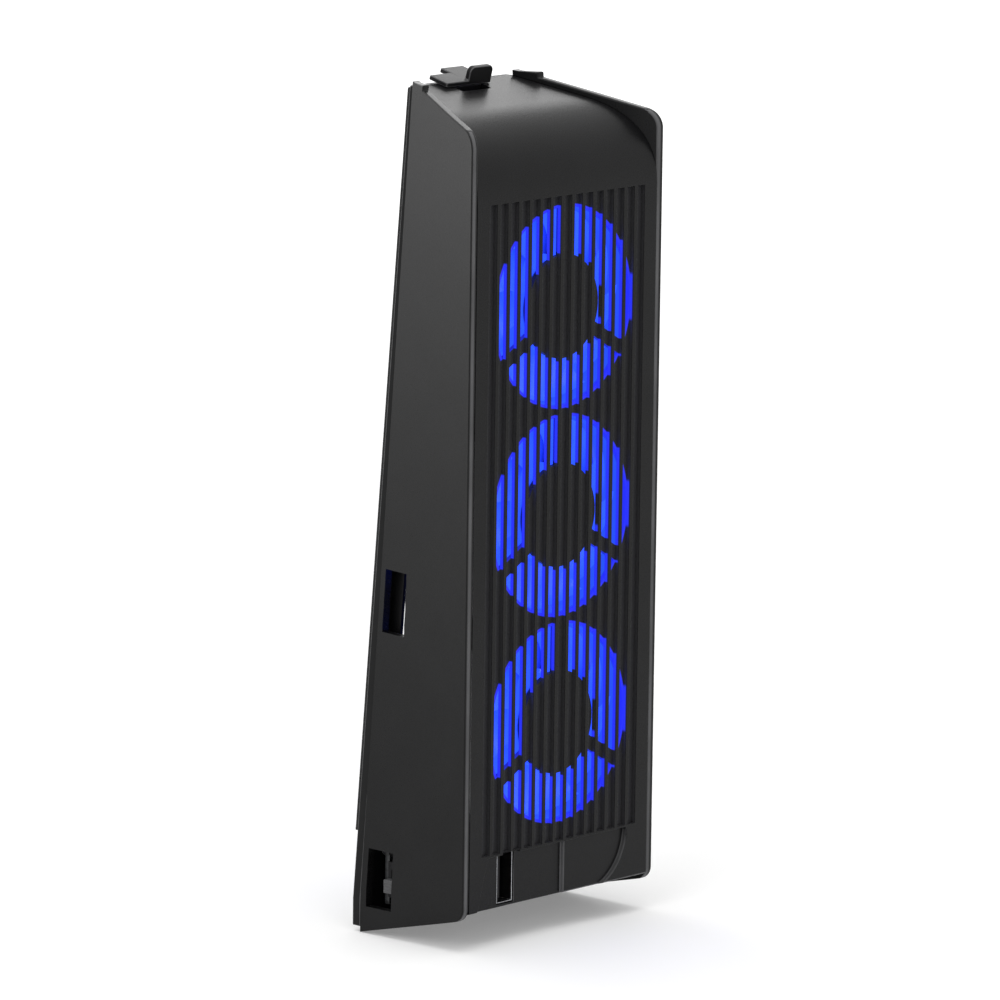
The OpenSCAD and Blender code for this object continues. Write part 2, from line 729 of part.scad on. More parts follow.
module usb_plug_core() {
  inner = plug_size / 2 - [tin + seat_gap, tin + seat_gap];
  tongue_t = 1.9;
  tongue_back = 0.4;
  color([0.1, 0.1, 0.1]) from_rear() {
    box([plug_at[0] - inner[0], main_front_d, plug_at[1] - inner[1]],
        [plug_at[0] + inner[0], unit_d, plug_at[1] + inner[1]]);
    box([plug_at[0] - inner[0], unit_d, plug_at[1] - inner[1]],
        [plug_at[0] - inner[0] + tongue_t, unit_d + plug_reach - tongue_back, plug_at[1] + inner[1]]);
  }
}

module switch_body() {
  slot = [knob_in + 2 * fit_gap, knob_stem + 2 * fit_gap, knob_stem + knob_travel + 2 * fit_gap];
  color([0.15, 0.15, 0.16]) from_rear() difference() {
    box([switch_x, main_board_d - switch_size[1], switch_z - switch_size[2] / 2],
        [switch_x + switch_size[0], main_board_d, switch_z + switch_size[2] / 2]);
    box([switch_x - past, switch_mid_d - slot[1] / 2, switch_z - slot[2] / 2],
        [switch_x + slot[0], switch_mid_d + slot[1] / 2, switch_z + slot[2] / 2]);
  }
}

module switch_knob() {
  outer_x = knob_back - half_w;
  cap_x = switch_x - knob_gap;
  low = switch_z - knob_travel / 2;
  color([0.35, 0.35, 0.36]) from_rear() {
    box([outer_x, switch_mid_d - knob_cap / 2, low - knob_cap / 2],
        [cap_x, switch_mid_d + knob_cap / 2, low + knob_cap / 2]);
    box([cap_x - root, switch_mid_d - knob_stem / 2, low - knob_stem / 2],
        [switch_x + knob_in, switch_mid_d + knob_stem / 2, low + knob_stem / 2]);
  }
}

// Frame of the latch: Y runs up the slope of the shell's top, and Z is square to it
module latch_frame() {
  translate([0, latch_d, shell_top(latch_d)]) rotate([top_angle, 0, 0]) children();
}

module latch_slider() {
  tab_x = [latch_x[1] - tab_w, latch_x[1]];
  tab_y = [latch_y[0], latch_y[0] + tab_t];
  plate_top = latch_gap / 2 + latch_t;
  tab_top = plate_top + tab_h;
  color([0.16, 0.16, 0.165]) from_rear() latch_frame() {
    box([latch_x[0], latch_y[0], latch_gap / 2], [latch_x[1], latch_y[1], plate_top]);
    box([tab_x[0], tab_y[0], latch_gap / 2], [tab_x[1], tab_y[1], tab_top - tab_r]);
    box([tab_x[0] + tab_r, tab_y[0], latch_gap / 2], [tab_x[1] - tab_r, tab_y[1], tab_top]);
    for (x = [tab_x[0] + tab_r, tab_x[1] - tab_r]) rod([x, tab_top - tab_r], tab_y[0], tab_y[1], tab_r);
    box([hook_x[0], latch_y[1] - past, latch_gap / 2],
        [hook_x[1], latch_y[1] + hook_len, plate_top]);
    box([stem_x[0], stem_y[0], -wall - latch_gap], [stem_x[1], stem_y[1], latch_gap]);
  }
}

module latch_retainer() {
  color([0.3, 0.3, 0.31]) from_rear() latch_frame()
    box([stem_x[0] - retainer_rim, stem_y[0] - retainer_rim, -wall - latch_gap - retainer_t],
        [stem_x[1] + retainer_rim, stem_y[1], -wall - latch_gap]);
}

// Direction from one route point to the next, and the normal of the ring at a point
function heading(route, i) = (route[i + 1] - route[i]) / norm(route[i + 1] - route[i]);
function bend(route, i) =
  i == len(route) - 1 ? heading(route, i - 1) : heading(route, i - 1) + heading(route, i);
// Slides a ring's corners along one run of the route to the plane of the next bend
function slid(ring, dir, at, normal) = [for (p = ring) p + dir * (((at - p) * normal) / (dir * normal))];
function rings(route, ring, i = 0) = i == len(route) - 1 ? [ring] :
  concat([ring], rings(route, slid(ring, heading(route, i), route[i + 1], bend(route, i + 1)), i + 1));

// A tube of eight sides along a route, mitred at its bends
module tube(route, r) {
  sides = 8;
  dir = heading(route, 0);
  u = cross(dir, [0, 0, 1]) / norm(cross(dir, [0, 0, 1]));
  v = cross(dir, u);
  first = [for (k = [0:sides - 1]) route[0] + r * (u * cos(360 * k / sides) + v * sin(360 * k / sides))];
  points = [for (ring = rings(route, first)) each ring];
  last = len(points) - sides;
  walls = [for (i = [0:len(route) - 2], k = [0:sides - 1])
    let (a = i * sides + k, b = i * sides + (k + 1) % sides)
    each [[a, a + sides, b], [b, a + sides, b + sides]]];
  caps = [for (k = [1:sides - 2]) each [[0, k, k + 1], [last, last + k + 1, last + k]]];
  polyhedron(points, concat(walls, caps));
}

module fan_leads() {
  base_d = fan_front_d + lead_r + seat_gap;
  color([0.1, 0.1, 0.1]) from_rear() for (i = [0:2]) {
    lane_d = base_d + i * lead_pitch;
    turn_z = lead_turn_z - i * lead_pitch;
    tube([
      [lead_start_x, base_d, FANS[i]], [lead_x, lane_d, FANS[i]], [lead_x, lane_d, turn_z],
      [SOCKET_X[i], socket_mid_d, turn_z], [SOCKET_X[i], socket_mid_d, socket_top + socket_size[2]]
    ], lead_r);
  }
}

module lead_plugs() {
  color([0.85, 0.85, 0.82]) from_rear() for (x = SOCKET_X)
    box([x - socket_size[0] / 2 + socket_rim, main_board_d - socket_size[1] + socket_rim, socket_top],
        [x + socket_size[0] / 2 - socket_rim, main_board_d - socket_rim, socket_top + socket_size[2]]);
}

module lead_sockets() {
  color([0.9, 0.9, 0.88]) from_rear() for (x = SOCKET_X)
    box([x - socket_size[0] / 2, main_board_d - socket_size[1], socket_top - socket_size[2]],
        [x + socket_size[0] / 2, main_board_d, socket_top]);
}

// A pan-head screw, its head on the face at depth d
module screw(at, d, grip) {
  rod(at, d, d + head_h, head_d / 2);
  rod(at, d - grip, d + head_h / 2, screw_d / 2);
}

module fan_screws() {
  color([0.6, 0.6, 0.62]) from_rear() for (z = FANS, x = [-1, 1], k = [-1, 1])
    screw([x * hole_pitch / 2, z + k * hole_pitch / 2], fan_front_d, thread_len - screw_end);
}

module board_screws() {
  color([0.6, 0.6, 0.62]) from_rear() {
    for (at = BOARD_POSTS) screw(at, main_front_d, thread_len);
    for (at = PORT_POSTS) screw(at, port_front_d, thread_len);
  }
}

module cover_screws() {
  color([0.6, 0.6, 0.62]) from_rear() for (at = FRAME_POSTS) screw(at, seal_d - head_h, thread_len);
}

rear_shell();
left_cheek();
right_cheek();
front_frame();
mouth_seal();
fan_frame(FANS[0]);  // fan_frame_upper
fan_frame(FANS[1]);  // fan_frame_middle
fan_frame(FANS[2]);  // fan_frame_lower
fan_rotor(FANS[0]);  // fan_rotor_upper
fan_rotor(FANS[1]);  // fan_rotor_middle
fan_rotor(FANS[2]);  // fan_rotor_lower
fan_shaft(FANS[0]);  // fan_shaft_upper
fan_shaft(FANS[1]);  // fan_shaft_middle
fan_shaft(FANS[2]);  // fan_shaft_lower
fan_bearing(FANS[0]);  // fan_bearing_upper
fan_bearing(FANS[1]);  // fan_bearing_middle
fan_bearing(FANS[2]);  // fan_bearing_lower
fan_stator(FANS[0]);  // fan_stator_upper
fan_stator(FANS[1]);  // fan_stator_middle
fan_stator(FANS[2]);  // fan_stator_lower
fan_coils(FANS[0]);  // fan_coils_upper
fan_coils(FANS[1]);  // fan_coils_middle
fan_coils(FANS[2]);  // fan_coils_lower
fan_magnet(FANS[0]);  // fan_magnet_upper
fan_magnet(FANS[1]);  // fan_magnet_middle
fan_magnet(FANS[2]);  // fan_magnet_lower
fan_board(FANS[0]);  // fan_board_upper
fan_board(FANS[1]);  // fan_board_middle
fan_board(FANS[2]);  // fan_board_lower
lamps();
port_board();
main_board();
board_chips();
pin_header();
usb_port_shell();
usb_port_tongue();
usb_plug_shell();
usb_plug_core();
switch_body();
switch_knob();
latch_slider();
latch_retainer();
fan_leads();
lead_plugs();
lead_sockets();
fan_screws();
board_screws();
cover_screws();
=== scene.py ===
"""Looks of a clip-on cooler with three lit fans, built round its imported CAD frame.

Each operator makes one piece or one group of like pieces. Sizes are in metres, in the CAD frame:
+X right for someone facing the grille, -Y the rear, where the air leaves, and +Z up.
"""

import json
import math

import bmesh
import bpy
from mathutils import Matrix, Quaternion, Vector


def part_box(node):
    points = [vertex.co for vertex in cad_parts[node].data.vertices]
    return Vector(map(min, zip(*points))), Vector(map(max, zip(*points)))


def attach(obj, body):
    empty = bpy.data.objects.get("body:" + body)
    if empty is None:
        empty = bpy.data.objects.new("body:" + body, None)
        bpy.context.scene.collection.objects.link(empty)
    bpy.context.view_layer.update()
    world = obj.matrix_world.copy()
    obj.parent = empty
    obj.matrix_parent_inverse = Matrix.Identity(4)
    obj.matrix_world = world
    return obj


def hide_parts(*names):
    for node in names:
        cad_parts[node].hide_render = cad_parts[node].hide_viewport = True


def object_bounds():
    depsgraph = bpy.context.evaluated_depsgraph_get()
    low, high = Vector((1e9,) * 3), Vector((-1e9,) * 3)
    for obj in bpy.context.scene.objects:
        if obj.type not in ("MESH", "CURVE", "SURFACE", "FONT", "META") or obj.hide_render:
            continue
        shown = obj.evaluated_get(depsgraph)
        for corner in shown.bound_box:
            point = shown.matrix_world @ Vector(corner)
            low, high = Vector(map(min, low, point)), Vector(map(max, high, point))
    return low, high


bl_info = {
    "name": "Clip-on cooler",
    "version": (1, 0, 0),
    "blender": (4, 5, 0),
    "location": "3D View > Sidebar > Cooler",
    "description": "Builds the finished look of a clip-on cooler with three lit fans",
    "category": "Object",
}

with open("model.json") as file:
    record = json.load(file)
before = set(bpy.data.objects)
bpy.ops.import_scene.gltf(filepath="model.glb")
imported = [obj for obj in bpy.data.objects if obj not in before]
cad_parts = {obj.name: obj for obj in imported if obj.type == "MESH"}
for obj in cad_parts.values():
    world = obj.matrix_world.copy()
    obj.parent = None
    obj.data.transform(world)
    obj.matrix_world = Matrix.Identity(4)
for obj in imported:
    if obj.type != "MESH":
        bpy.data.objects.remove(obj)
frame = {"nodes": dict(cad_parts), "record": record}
cad_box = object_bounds()
NODES = frame["nodes"]
SLOTS = {part["node"]: part["material_slot"] for part in frame["record"]["subparts"]}
BODIES = {node: body for body, nodes in frame["record"]["behaviour"]["bodies"].items() for node in nodes}

# Finishes and trees that the first operator makes for the others, by name
PAINT = {}
TREES = {}

MM = 0.001

# Places of the CAD model that the finishes and the small pieces follow
UNIT_D = 38 * MM
HALF_W = 35 * MM
REAR_H = 190 * MM
FLARE = 0.44
FANS = ("upper", "middle", "lower")
FAN_MID_Z = 0.8 * MM
FAN_PITCH = 51.5 * MM
FAN_Z = {"upper": FAN_MID_Z + FAN_PITCH, "middle": FAN_MID_Z, "lower": FAN_MID_Z - FAN_PITCH}
FAN_BACK_Y = 2.4 * MM - UNIT_D
FAN_FRONT_Y = 14.4 * MM - UNIT_D
BORE_R = 24.3 * MM
HUB_R = 12 * MM
LIT_R = (13.5 * MM, 25.1 * MM)
GRILLE_LOW_Z = -80.2 * MM
GRILLE_HIGH_Z = 79.6 * MM
SEAM = 0.14 * MM
SPOKE_W = 3.3 * MM
HOLE_HALF = 20 * MM
PORT_BOARD_FRONT_Y = 16.4 * MM - UNIT_D
MAIN_BOARD_BACK_Y = 28 * MM - UNIT_D
MAIN_BOARD_FRONT_Y = 29.6 * MM - UNIT_D
COVER_SEAT_Y = 35.2 * MM - UNIT_D
FRAME_BACK_Y = 34 * MM - UNIT_D
FRAME_BORDER = 4.8 * MM

EDGE_ROUGH = 0.34

# Names of the pieces that aren't called after the CAD node that they stand for
SHORT_NAMES = {"mouth_seal": "seal_foam", "usb_port_shell": "port_shell", "usb_port_tongue": "port_tongue",
               "usb_plug_shell": "plug_shell", "usb_plug_core": "plug_core"}


# Settings

class CoolerFinish(bpy.types.PropertyGroup):
    """Colours and surface of the plastics and of the light"""

    shell_colour: bpy.props.FloatVectorProperty(
        name="Shell colour", description="Colour of the satin black mouldings", subtype="COLOR",
        default=(0.0045, 0.0045, 0.0048), min=0, max=1)
    # Painted highlight: the pale colour of the mouldings' rounded edges stands in for the light that they
    # catch
    edge_highlight_colour: bpy.props.FloatVectorProperty(
        name="Edge colour", description="Colour of the mouldings' highlighted edges", subtype="COLOR",
        default=(0.095, 0.095, 0.098), min=0, max=1)
    edge_round: bpy.props.FloatProperty(
        name="Edge rounding", description="Rounding of the mouldings' edges", unit="LENGTH",
        default=0.45 * MM, min=0, precision=5)
    gloss: bpy.props.FloatProperty(
        name="Roughness", description="Roughness of the satin mouldings", default=0.3, min=0.05, max=1)
    # Painted light: this share makes the groove floors paler, standing in for light that reaches into them
    groove_painted_light: bpy.props.FloatProperty(
        name="Groove lift", description="How much paler the floors of the grooves are", default=8.0, min=0)
    grain: bpy.props.FloatProperty(
        name="Grain", description="Size of the spark-eroded grain", unit="LENGTH",
        default=0.22 * MM, min=0.01 * MM, precision=5)
    glow_colour: bpy.props.FloatVectorProperty(
        name="Glow", description="Colour of the lit blades", subtype="COLOR",
        default=(0.024, 0.09, 1.0), min=0, max=1)
    spill_colour: bpy.props.FloatVectorProperty(
        name="Spill", description="Colour of the light that falls on the black walls", subtype="COLOR",
        default=(0.012, 0.022, 1.0), min=0, max=1)
    glow_strength: bpy.props.FloatProperty(
        name="Glow strength", description="Light that the blades give", default=1.15, min=0)
    spill_strength: bpy.props.FloatProperty(
        name="Spill strength", description="Light on the walls of the outlets", default=0.95, min=0)


class CoolerFans(bpy.types.PropertyGroup):
    """Shape of the rotors"""

    blade_count: bpy.props.IntProperty(
        name="Blades", description="Number of blades on a rotor", default=11, min=5, max=13)
    blade_wrap: bpy.props.FloatProperty(
        name="Wrap", description="Turn about the axis that a blade covers", subtype="ANGLE",
        default=math.radians(60), min=0)
    blade_sweep: bpy.props.FloatProperty(
        name="Sweep", description="Forward lean of a blade's tip", subtype="ANGLE",
        default=math.radians(9), min=0)
    blade_thickness: bpy.props.FloatProperty(
        name="Blade thickness", description="Thickness at the middle of a blade", unit="LENGTH",
        default=0.95 * MM, min=0, precision=5)
    tip_radius: bpy.props.FloatProperty(
        name="Tip radius", description="Radius of the blades' tips", unit="LENGTH",
        default=23.6 * MM, min=0, precision=5)


class CoolerSmall(bpy.types.PropertyGroup):
    """Sizes of the screws, leads and contacts"""

    head_radius: bpy.props.FloatProperty(
        name="Screw head radius", description="Radius of a pan head", unit="LENGTH",
        default=2.5 * MM, min=0, precision=5)
    head_height: bpy.props.FloatProperty(
        name="Screw head height", description="Height of a pan head", unit="LENGTH",
        default=1.4 * MM, min=0, precision=5)
    wire_radius: bpy.props.FloatProperty(
        name="Wire radius", description="Radius of one conductor of a lead", unit="LENGTH",
        default=0.4 * MM, min=0, precision=5)
    lead_bend: bpy.props.FloatProperty(
        name="Lead bend", description="Radius of a lead's bends", unit="LENGTH",
        default=1.6 * MM, min=0, precision=5)
    contact_width: bpy.props.FloatProperty(
        name="Contact width", description="Width of a gold contact", unit="LENGTH",
        default=1.0 * MM, min=0, precision=5)


class CoolerStage(bpy.types.PropertyGroup):
    """Camera, lights and floor"""

    azimuth: bpy.props.FloatProperty(
        name="Azimuth", description="Turn of the camera about the object", subtype="ANGLE",
        default=math.radians(-48.13))
    elevation: bpy.props.FloatProperty(
        name="Elevation", description="Height of the camera over the horizon", subtype="ANGLE",
        default=math.radians(9.91))
    roll: bpy.props.FloatProperty(
        name="Roll", description="Roll of the camera about its axis", subtype="ANGLE",
        default=math.radians(0.75))
    distance: bpy.props.FloatProperty(
        name="Distance", description="Distance from the camera to its aim", unit="LENGTH",
        default=1.861, min=0.1)
    lens: bpy.props.FloatProperty(
        name="Lens", description="Focal length on a 36 mm sensor, in millimetres", default=272.6, min=20)
    floor_colour: bpy.props.FloatVectorProperty(
        name="Floor", description="Colour of the floor", subtype="COLOR",
        default=(0.8, 0.8, 0.8), min=0, max=1)


# Node helpers

def add_node(tree, kind, inputs=None, **settings):
    """A new node with its settings and inputs."""
    made = tree.nodes.new(kind)
    for key, value in settings.items():
        setattr(made, key, value)
    for key, value in (inputs or {}).items():
        feed(tree, made.inputs[key], value)
    return made


def feed(tree, socket, value):
    """Sets a socket, or links it where the value is another node's output."""
    if isinstance(value, bpy.types.NodeSocket):
        tree.links.new(value, socket)
    else:
        socket.default_value = value


def maths(tree, operation, *values):
    """The output of a Math node."""
    return add_node(tree, "ShaderNodeMath", dict(enumerate(values)), operation=operation).outputs[0]


def product(tree, first, *others):
    """The product of several values."""
    for other in others:
        first = maths(tree, "MULTIPLY", first, other)
    return first


def step(tree, value, low, high, out_low=0.0, out_high=1.0):
    """A soft step of a value from low to high."""
    inputs = dict(enumerate((value, low, high, out_low, out_high)))
    return add_node(tree, "ShaderNodeMapRange", inputs, interpolation_type="SMOOTHSTEP").outputs[0]


def band(tree, value, rise, fall):
    """One between a soft rise and a soft fall of a value, each given by its two ends."""
    return product(tree, step(tree, value, *rise), step(tree, value, *fall, 1.0, 0.0))


def axes(tree, vector):
    """A vector's three axes."""
    return add_node(tree, "ShaderNodeSeparateXYZ", {0: vector}).outputs


def object_place(tree):
    """Object coordinates, split into their axes as well."""
    place = add_node(tree, "ShaderNodeTexCoord").outputs["Object"]
    return (place, *axes(tree, place))


def noise(tree, place, size, detail=2.0, stretch=None):
    """A noise texture whose features are about as large as size."""
    if stretch:
        place = add_node(tree, "ShaderNodeMapping", {"Vector": place, "Scale": stretch}).outputs[0]
    made = add_node(tree, "ShaderNodeTexNoise", {"Vector": place, "Scale": 1 / size, "Detail": detail})
    return made.outputs["Fac"]


def blend_colour(tree, factor, first, second):
    """A colour between two, by a factor."""
    made = add_node(tree, "ShaderNodeMix", data_type="RGBA")
    feed(tree, made.inputs["Factor"], factor)
    colour_sockets = [s for s in made.inputs if s.type == "RGBA"]
    for socket, colour in zip(colour_sockets, (first, second)):
        feed(tree, socket, colour if isinstance(colour, bpy.types.NodeSocket) else (*colour[:3], 1))
    return [s for s in made.outputs if s.type == "RGBA"][0]


def bump(tree, shader, height, distance):
    """Bumps a shader by a height."""
    made = add_node(tree, "ShaderNodeBump", {"Distance": distance, "Height": height})
    tree.links.new(made.outputs[0], shader.inputs["Normal"])


def surface(tree, shader, colour, rough, metallic=0.0, specular=0.5):
    """Gives a shader its colour and its gloss, which may vary over the surface."""
    looks = {"Base Color": colour, "Roughness": rough, "Metallic": metallic, "Specular IOR Level": specular}
    for key, value in looks.items():
        feed(tree, shader.inputs[key], value)


def blank(name):
    """A new material with its node tree and shader."""
    material = bpy.data.materials.new(name)
    material.use_nodes = True
    tree = material.node_tree
    return material, tree, tree.nodes["Principled BSDF"]


def shade(colour, share):
    """A colour made darker or lighter by a share."""
    return tuple(min(1.0, c * share) for c in colour[:3])


# Finishes

def moulded(name, colour, rough, grain):
    """Moulded plastic with a spark-eroded grain and a faint cloudiness."""
    cloud_size = 14 * MM
    cloudiness = 0.18
    grain_depth = 0.008 * MM
    material, tree, shader = blank(name)
    place = object_place(tree)[0]
    fine = noise(tree, place, grain, 3.0)
    tint = step(tree, noise(tree, place, cloud_size), 0.3, 0.7)
    surface(tree, shader,
            blend_colour(tree, tint, shade(colour, 1 - cloudiness), shade(colour, 1 + cloudiness)),
            step(tree, fine, 0.25, 0.75, rough - 0.05, rough + 0.06), specular=0.17)
    bump(tree, shader, fine, grain_depth)
    return material, tree, shader


def seen_directly(tree):
    """One for rays from the camera, from gloss and through glass, which show the pale surroundings."""
    path = add_node(tree, "ShaderNodeLightPath")
    seen = maths(tree, "ADD", path.outputs["Is Camera Ray"], path.outputs["Is Glossy Ray"])
    return maths(tree, "MINIMUM", maths(tree, "ADD", seen, path.outputs["Is Transmission Ray"]), 1.0)


def fan_radius(tree):
    """Distance from the nearest fan's axis, height over that axis, and the axes of the place."""
    _, x, y, z = object_place(tree)
    up = maths(tree, "WRAP", maths(tree, "SUBTRACT", z, FAN_MID_Z), FAN_PITCH / 2, -FAN_PITCH / 2)
    radius = maths(tree, "SQRT", maths(tree, "ADD", product(tree, x, x), product(tree, up, up)))
    return radius, up, x, y, z


def near_fans(tree, z, near, far):
    """One at the fans' heights, falling to nothing between two distances from the middle fan's axis."""
    return step(tree, maths(tree, "ABSOLUTE", maths(tree, "SUBTRACT", z, FAN_MID_Z)), near, far, 1.0, 0.0)


def light(shader, tree, colour, strength):
    """Makes a shader give light of a colour, with a strength that varies over the surface."""
    shader.inputs["Emission Color"].default_value = (*colour[:3], 1)
    tree.links.new(strength, shader.inputs["Emission Strength"])


def grille_plastic(finish):
    """Shell plastic, with painted light that makes the floors of the grooves paler and makes the walls glow
    blue at the arc outlets.
    """
    soft = 0.12 * MM
    half_arc = math.radians(60)
    material, tree, shader = moulded("shell_satin", finish.shell_colour, finish.gloss, finish.grain)
    radius, up, x, y, z = fan_radius(tree)
    ring = band(tree, radius, (LIT_R[0] - soft, LIT_R[0] + soft), (LIT_R[1] - soft, LIT_R[1] + soft))
    folded = maths(tree, "WRAP", maths(tree, "ARCTAN2", x, up), half_arc, -half_arc)
    across = product(tree, radius, maths(tree, "ABSOLUTE", maths(tree, "SINE", folded)))
    spoke = step(tree, across, SPOKE_W / 2 - soft, SPOKE_W / 2 + soft)
    depth = maths(tree, "ADD", y, UNIT_D)
    inside = step(tree, depth, 0.06 * MM, 0.5 * MM)
    reach = near_fans(tree, z, 1.5 * FAN_PITCH - soft, 1.5 * FAN_PITCH)
    # Painted light: the outlet walls glow by emission, for the fans' blue light falling on them
    light(shader, tree, finish.spill_colour, product(tree, ring, spoke, inside, reach, finish.spill_strength))
    # Painted light: the groove floors are paler, standing in for the light that reaches into them
    on_grille = band(tree, z, (GRILLE_LOW_Z - MM, GRILLE_LOW_Z), (GRILLE_HIGH_Z, GRILLE_HIGH_Z + MM))
    groove_light_mask = product(tree, step(tree, depth, 0.04 * MM, 0.3 * MM), on_grille)
    base = shader.inputs["Base Color"]
    groove_painted_colour = shade(finish.shell_colour, finish.groove_painted_light)
    tree.links.new(blend_colour(tree, groove_light_mask, base.links[0].from_socket, groove_painted_colour), base)
    return material


def frame_plastic(finish):
    """Fan frame plastic, lit on the bore's wall by the lamps in it."""
    material, tree, shader = moulded("fan_frame_satin", shade(finish.shell_colour, 0.8), 0.4, finish.grain)
    radius, _, _, y, _ = fan_radius(tree)
    bore = band(tree, radius, (BORE_R - 0.8 * MM, BORE_R - 0.3 * MM), (BORE_R, BORE_R + 0.3 * MM))
    back = step(tree, y, FAN_FRONT_Y - 2.2 * MM, FAN_FRONT_Y - 0.3 * MM, 1.0, 0.08)
    # Painted light: the bore wall glows by emission, for the lamps' light falling on it
    light(shader, tree, finish.glow_colour, product(tree, bore, back, 0.8 * finish.glow_strength))
    return material


def cheek_plastic(finish, name, inward):
    """Cheek plastic, with a little of the fans' light on its inner face."""
    caught = 0.22
    material, tree, shader = moulded(name, finish.shell_colour, finish.gloss, finish.grain)
    normal = add_node(tree, "ShaderNodeTexCoord").outputs["Normal"]
    facing = step(tree, product(tree, axes(tree, normal)[0], inward), 0.4, 0.8)
    _, _, y, z = object_place(tree)
    depth = band(tree, y, (FAN_BACK_Y + MM, FAN_BACK_Y + 3 * MM),
                 (FAN_FRONT_Y - 3 * MM, FAN_FRONT_Y + 16 * MM))
    reach = near_fans(tree, z, 1.2 * FAN_PITCH, 1.6 * FAN_PITCH)
    # Painted light: the inner face glows faintly by emission, for the fans' light falling on it
    light(shader, tree, finish.spill_colour,
          product(tree, facing, depth, reach, caught * finish.spill_strength))
    return material


def cheek_rim_highlight_plastic(finish, name, inset):
    """Cheek plastic for a rear rim, with a painted highlight along a line that is inset from the cheek's
    outer face.
    """
    material, tree, shader = moulded(name, finish.edge_highlight_colour, EDGE_ROUGH, finish.grain)
    _, x, y, z = object_place(tree)
    lean = maths(tree, "MULTIPLY_ADD", z, FLARE / REAR_H, FLARE / 2)
    moved = product(tree, lean, maths(tree, "ADD", y, UNIT_D))
    across = maths(tree, "ADD", maths(tree, "ABSOLUTE", x), moved)
    outer = HALF_W - inset
    # Painted highlight: the rim takes the pale edge colour only along this line, and the shell's black
    # elsewhere
    line = band(tree, across, (outer - 1.65 * MM, outer - 1.15 * MM), (outer - 0.6 * MM, outer))
    base = shader.inputs["Base Color"]
    tree.links.new(blend_colour(tree, line, finish.shell_colour, base.links[0].from_socket), base)
    return material


def rotor_plastic(finish):
    """Lit blue plastic, brightest at the blades' tips, which pass the lamps, and darker to the front."""
    material, tree, shader = blank("blade_lit_blue")
    radius = fan_radius(tree)[0]
    cloud = noise(tree, object_place(tree)[0], 5 * MM)
    surface(tree, shader, blend_colour(tree, cloud, (0.012, 0.04, 0.4), (0.03, 0.09, 0.55)),
            step(tree, cloud, 0.3, 0.7, 0.22, 0.34))
    out = step(tree, radius, HUB_R - 0.5 * MM, HUB_R - 0.1 * MM, 0.03, 0.9)
    tip = step(tree, radius, 0.7 * BORE_R, BORE_R, 0.0, 0.15)
    chord = add_node(tree, "ShaderNodeAttribute", attribute_name="chord").outputs["Fac"]
    fade = step(tree, chord, 0.0, 1.0, 1.06, 0.66)
    front_fade = step(tree, chord, 0.4, 1.0, 1.0, 0.2)
    varied = step(tree, cloud, 0.2, 0.8, 0.94, 1.06)
    level = maths(tree, "ADD", out, tip)
    # Painted light: the blades glow by emission for the lamps' light inside the clear plastic, weaker near
    # the hub and to the front
    light(shader, tree, finish.glow_colour,
          product(tree, level, finish.glow_strength, varied, fade, front_fade))
    return material


def metal(name, colour, rough, brush=(1, 1, 1), size=0.4 * MM, depth=0.004 * MM):
    """Metal with a fine brushed or rolled grain."""
    material, tree, shader = blank(name)
    grain = noise(tree, object_place(tree)[0], size, 3.0, brush)
    surface(tree, shader, blend_colour(tree, grain, shade(colour, 0.82), shade(colour, 1.12)),
            step(tree, grain, 0.25, 0.75, rough - 0.06, rough + 0.08), metallic=1.0)
    bump(tree, shader, grain, depth)
    return material


def foam_finish():
    """Open-cell foam: dark, dull and pitted."""
    material, tree, shader = blank("seal_open_cell")
    cell_size = 0.45 * MM
    pit_depth = 0.12 * MM
    place = object_place(tree)[0]
    cells = add_node(tree, "ShaderNodeTexVoronoi", {"Vector": place, "Scale": 1 / cell_size}, feature="F1")
    pits = step(tree, cells.outputs["Distance"], 0.05, 0.55)
    # Painted shade: the colour is darker in the pits of the cells
    surface(tree, shader, blend_colour(tree, pits, (0.008, 0.008, 0.008), (0.035, 0.035, 0.036)),
            step(tree, pits, 0.0, 1.0, 0.98, 0.85), specular=0.2)
    bump(tree, shader, pits, pit_depth)
    return material


def board_finish():
    """Solder mask over copper traces."""
    material, tree, shader = blank("board_mask_black")
    place = object_place(tree)[0]
    trace_pitch = 4 * MM
    trace_height = 0.03 * MM
    turned = add_node(tree, "ShaderNodeMapping", {"Vector": place, "Rotation": (math.radians(90), 0, 0)})
    traces = add_node(tree, "ShaderNodeTexBrick", {
        "Vector": turned.outputs[0], "Scale": 1 / trace_pitch, "Mortar Size": 0.06,
        "Color1": (0, 0, 0, 1), "Color2": (0.25, 0.25, 0.25, 1), "Mortar": (1, 1, 1, 1)})
    surface(tree, shader,
            blend_colour(tree, traces.outputs["Color"], (0.006, 0.007, 0.0075), (0.018, 0.02, 0.022)),
            step(tree, noise(tree, place, 1.2 * MM), 0.3, 0.7, 0.28, 0.4))
    bump(tree, shader, traces.outputs["Color"], trace_height)
    return material


def lamp_finish(finish):
    """Clear lamp resin that glows from its chip."""
    material, tree, shader = blank("lamp_clear_blue")
    radius = fan_radius(tree)[0]
    cloud = noise(tree, object_place(tree)[0], 0.8 * MM)
    surface(tree, shader, blend_colour(tree, cloud, (0.3, 0.42, 0.95), (0.4, 0.55, 1.0)),
            step(tree, cloud, 0.3, 0.7, 0.08, 0.16))
    light(shader, tree, finish.glow_colour, step(tree, radius, BORE_R, BORE_R + 4 * MM, 3.0, 0.6))
    return material


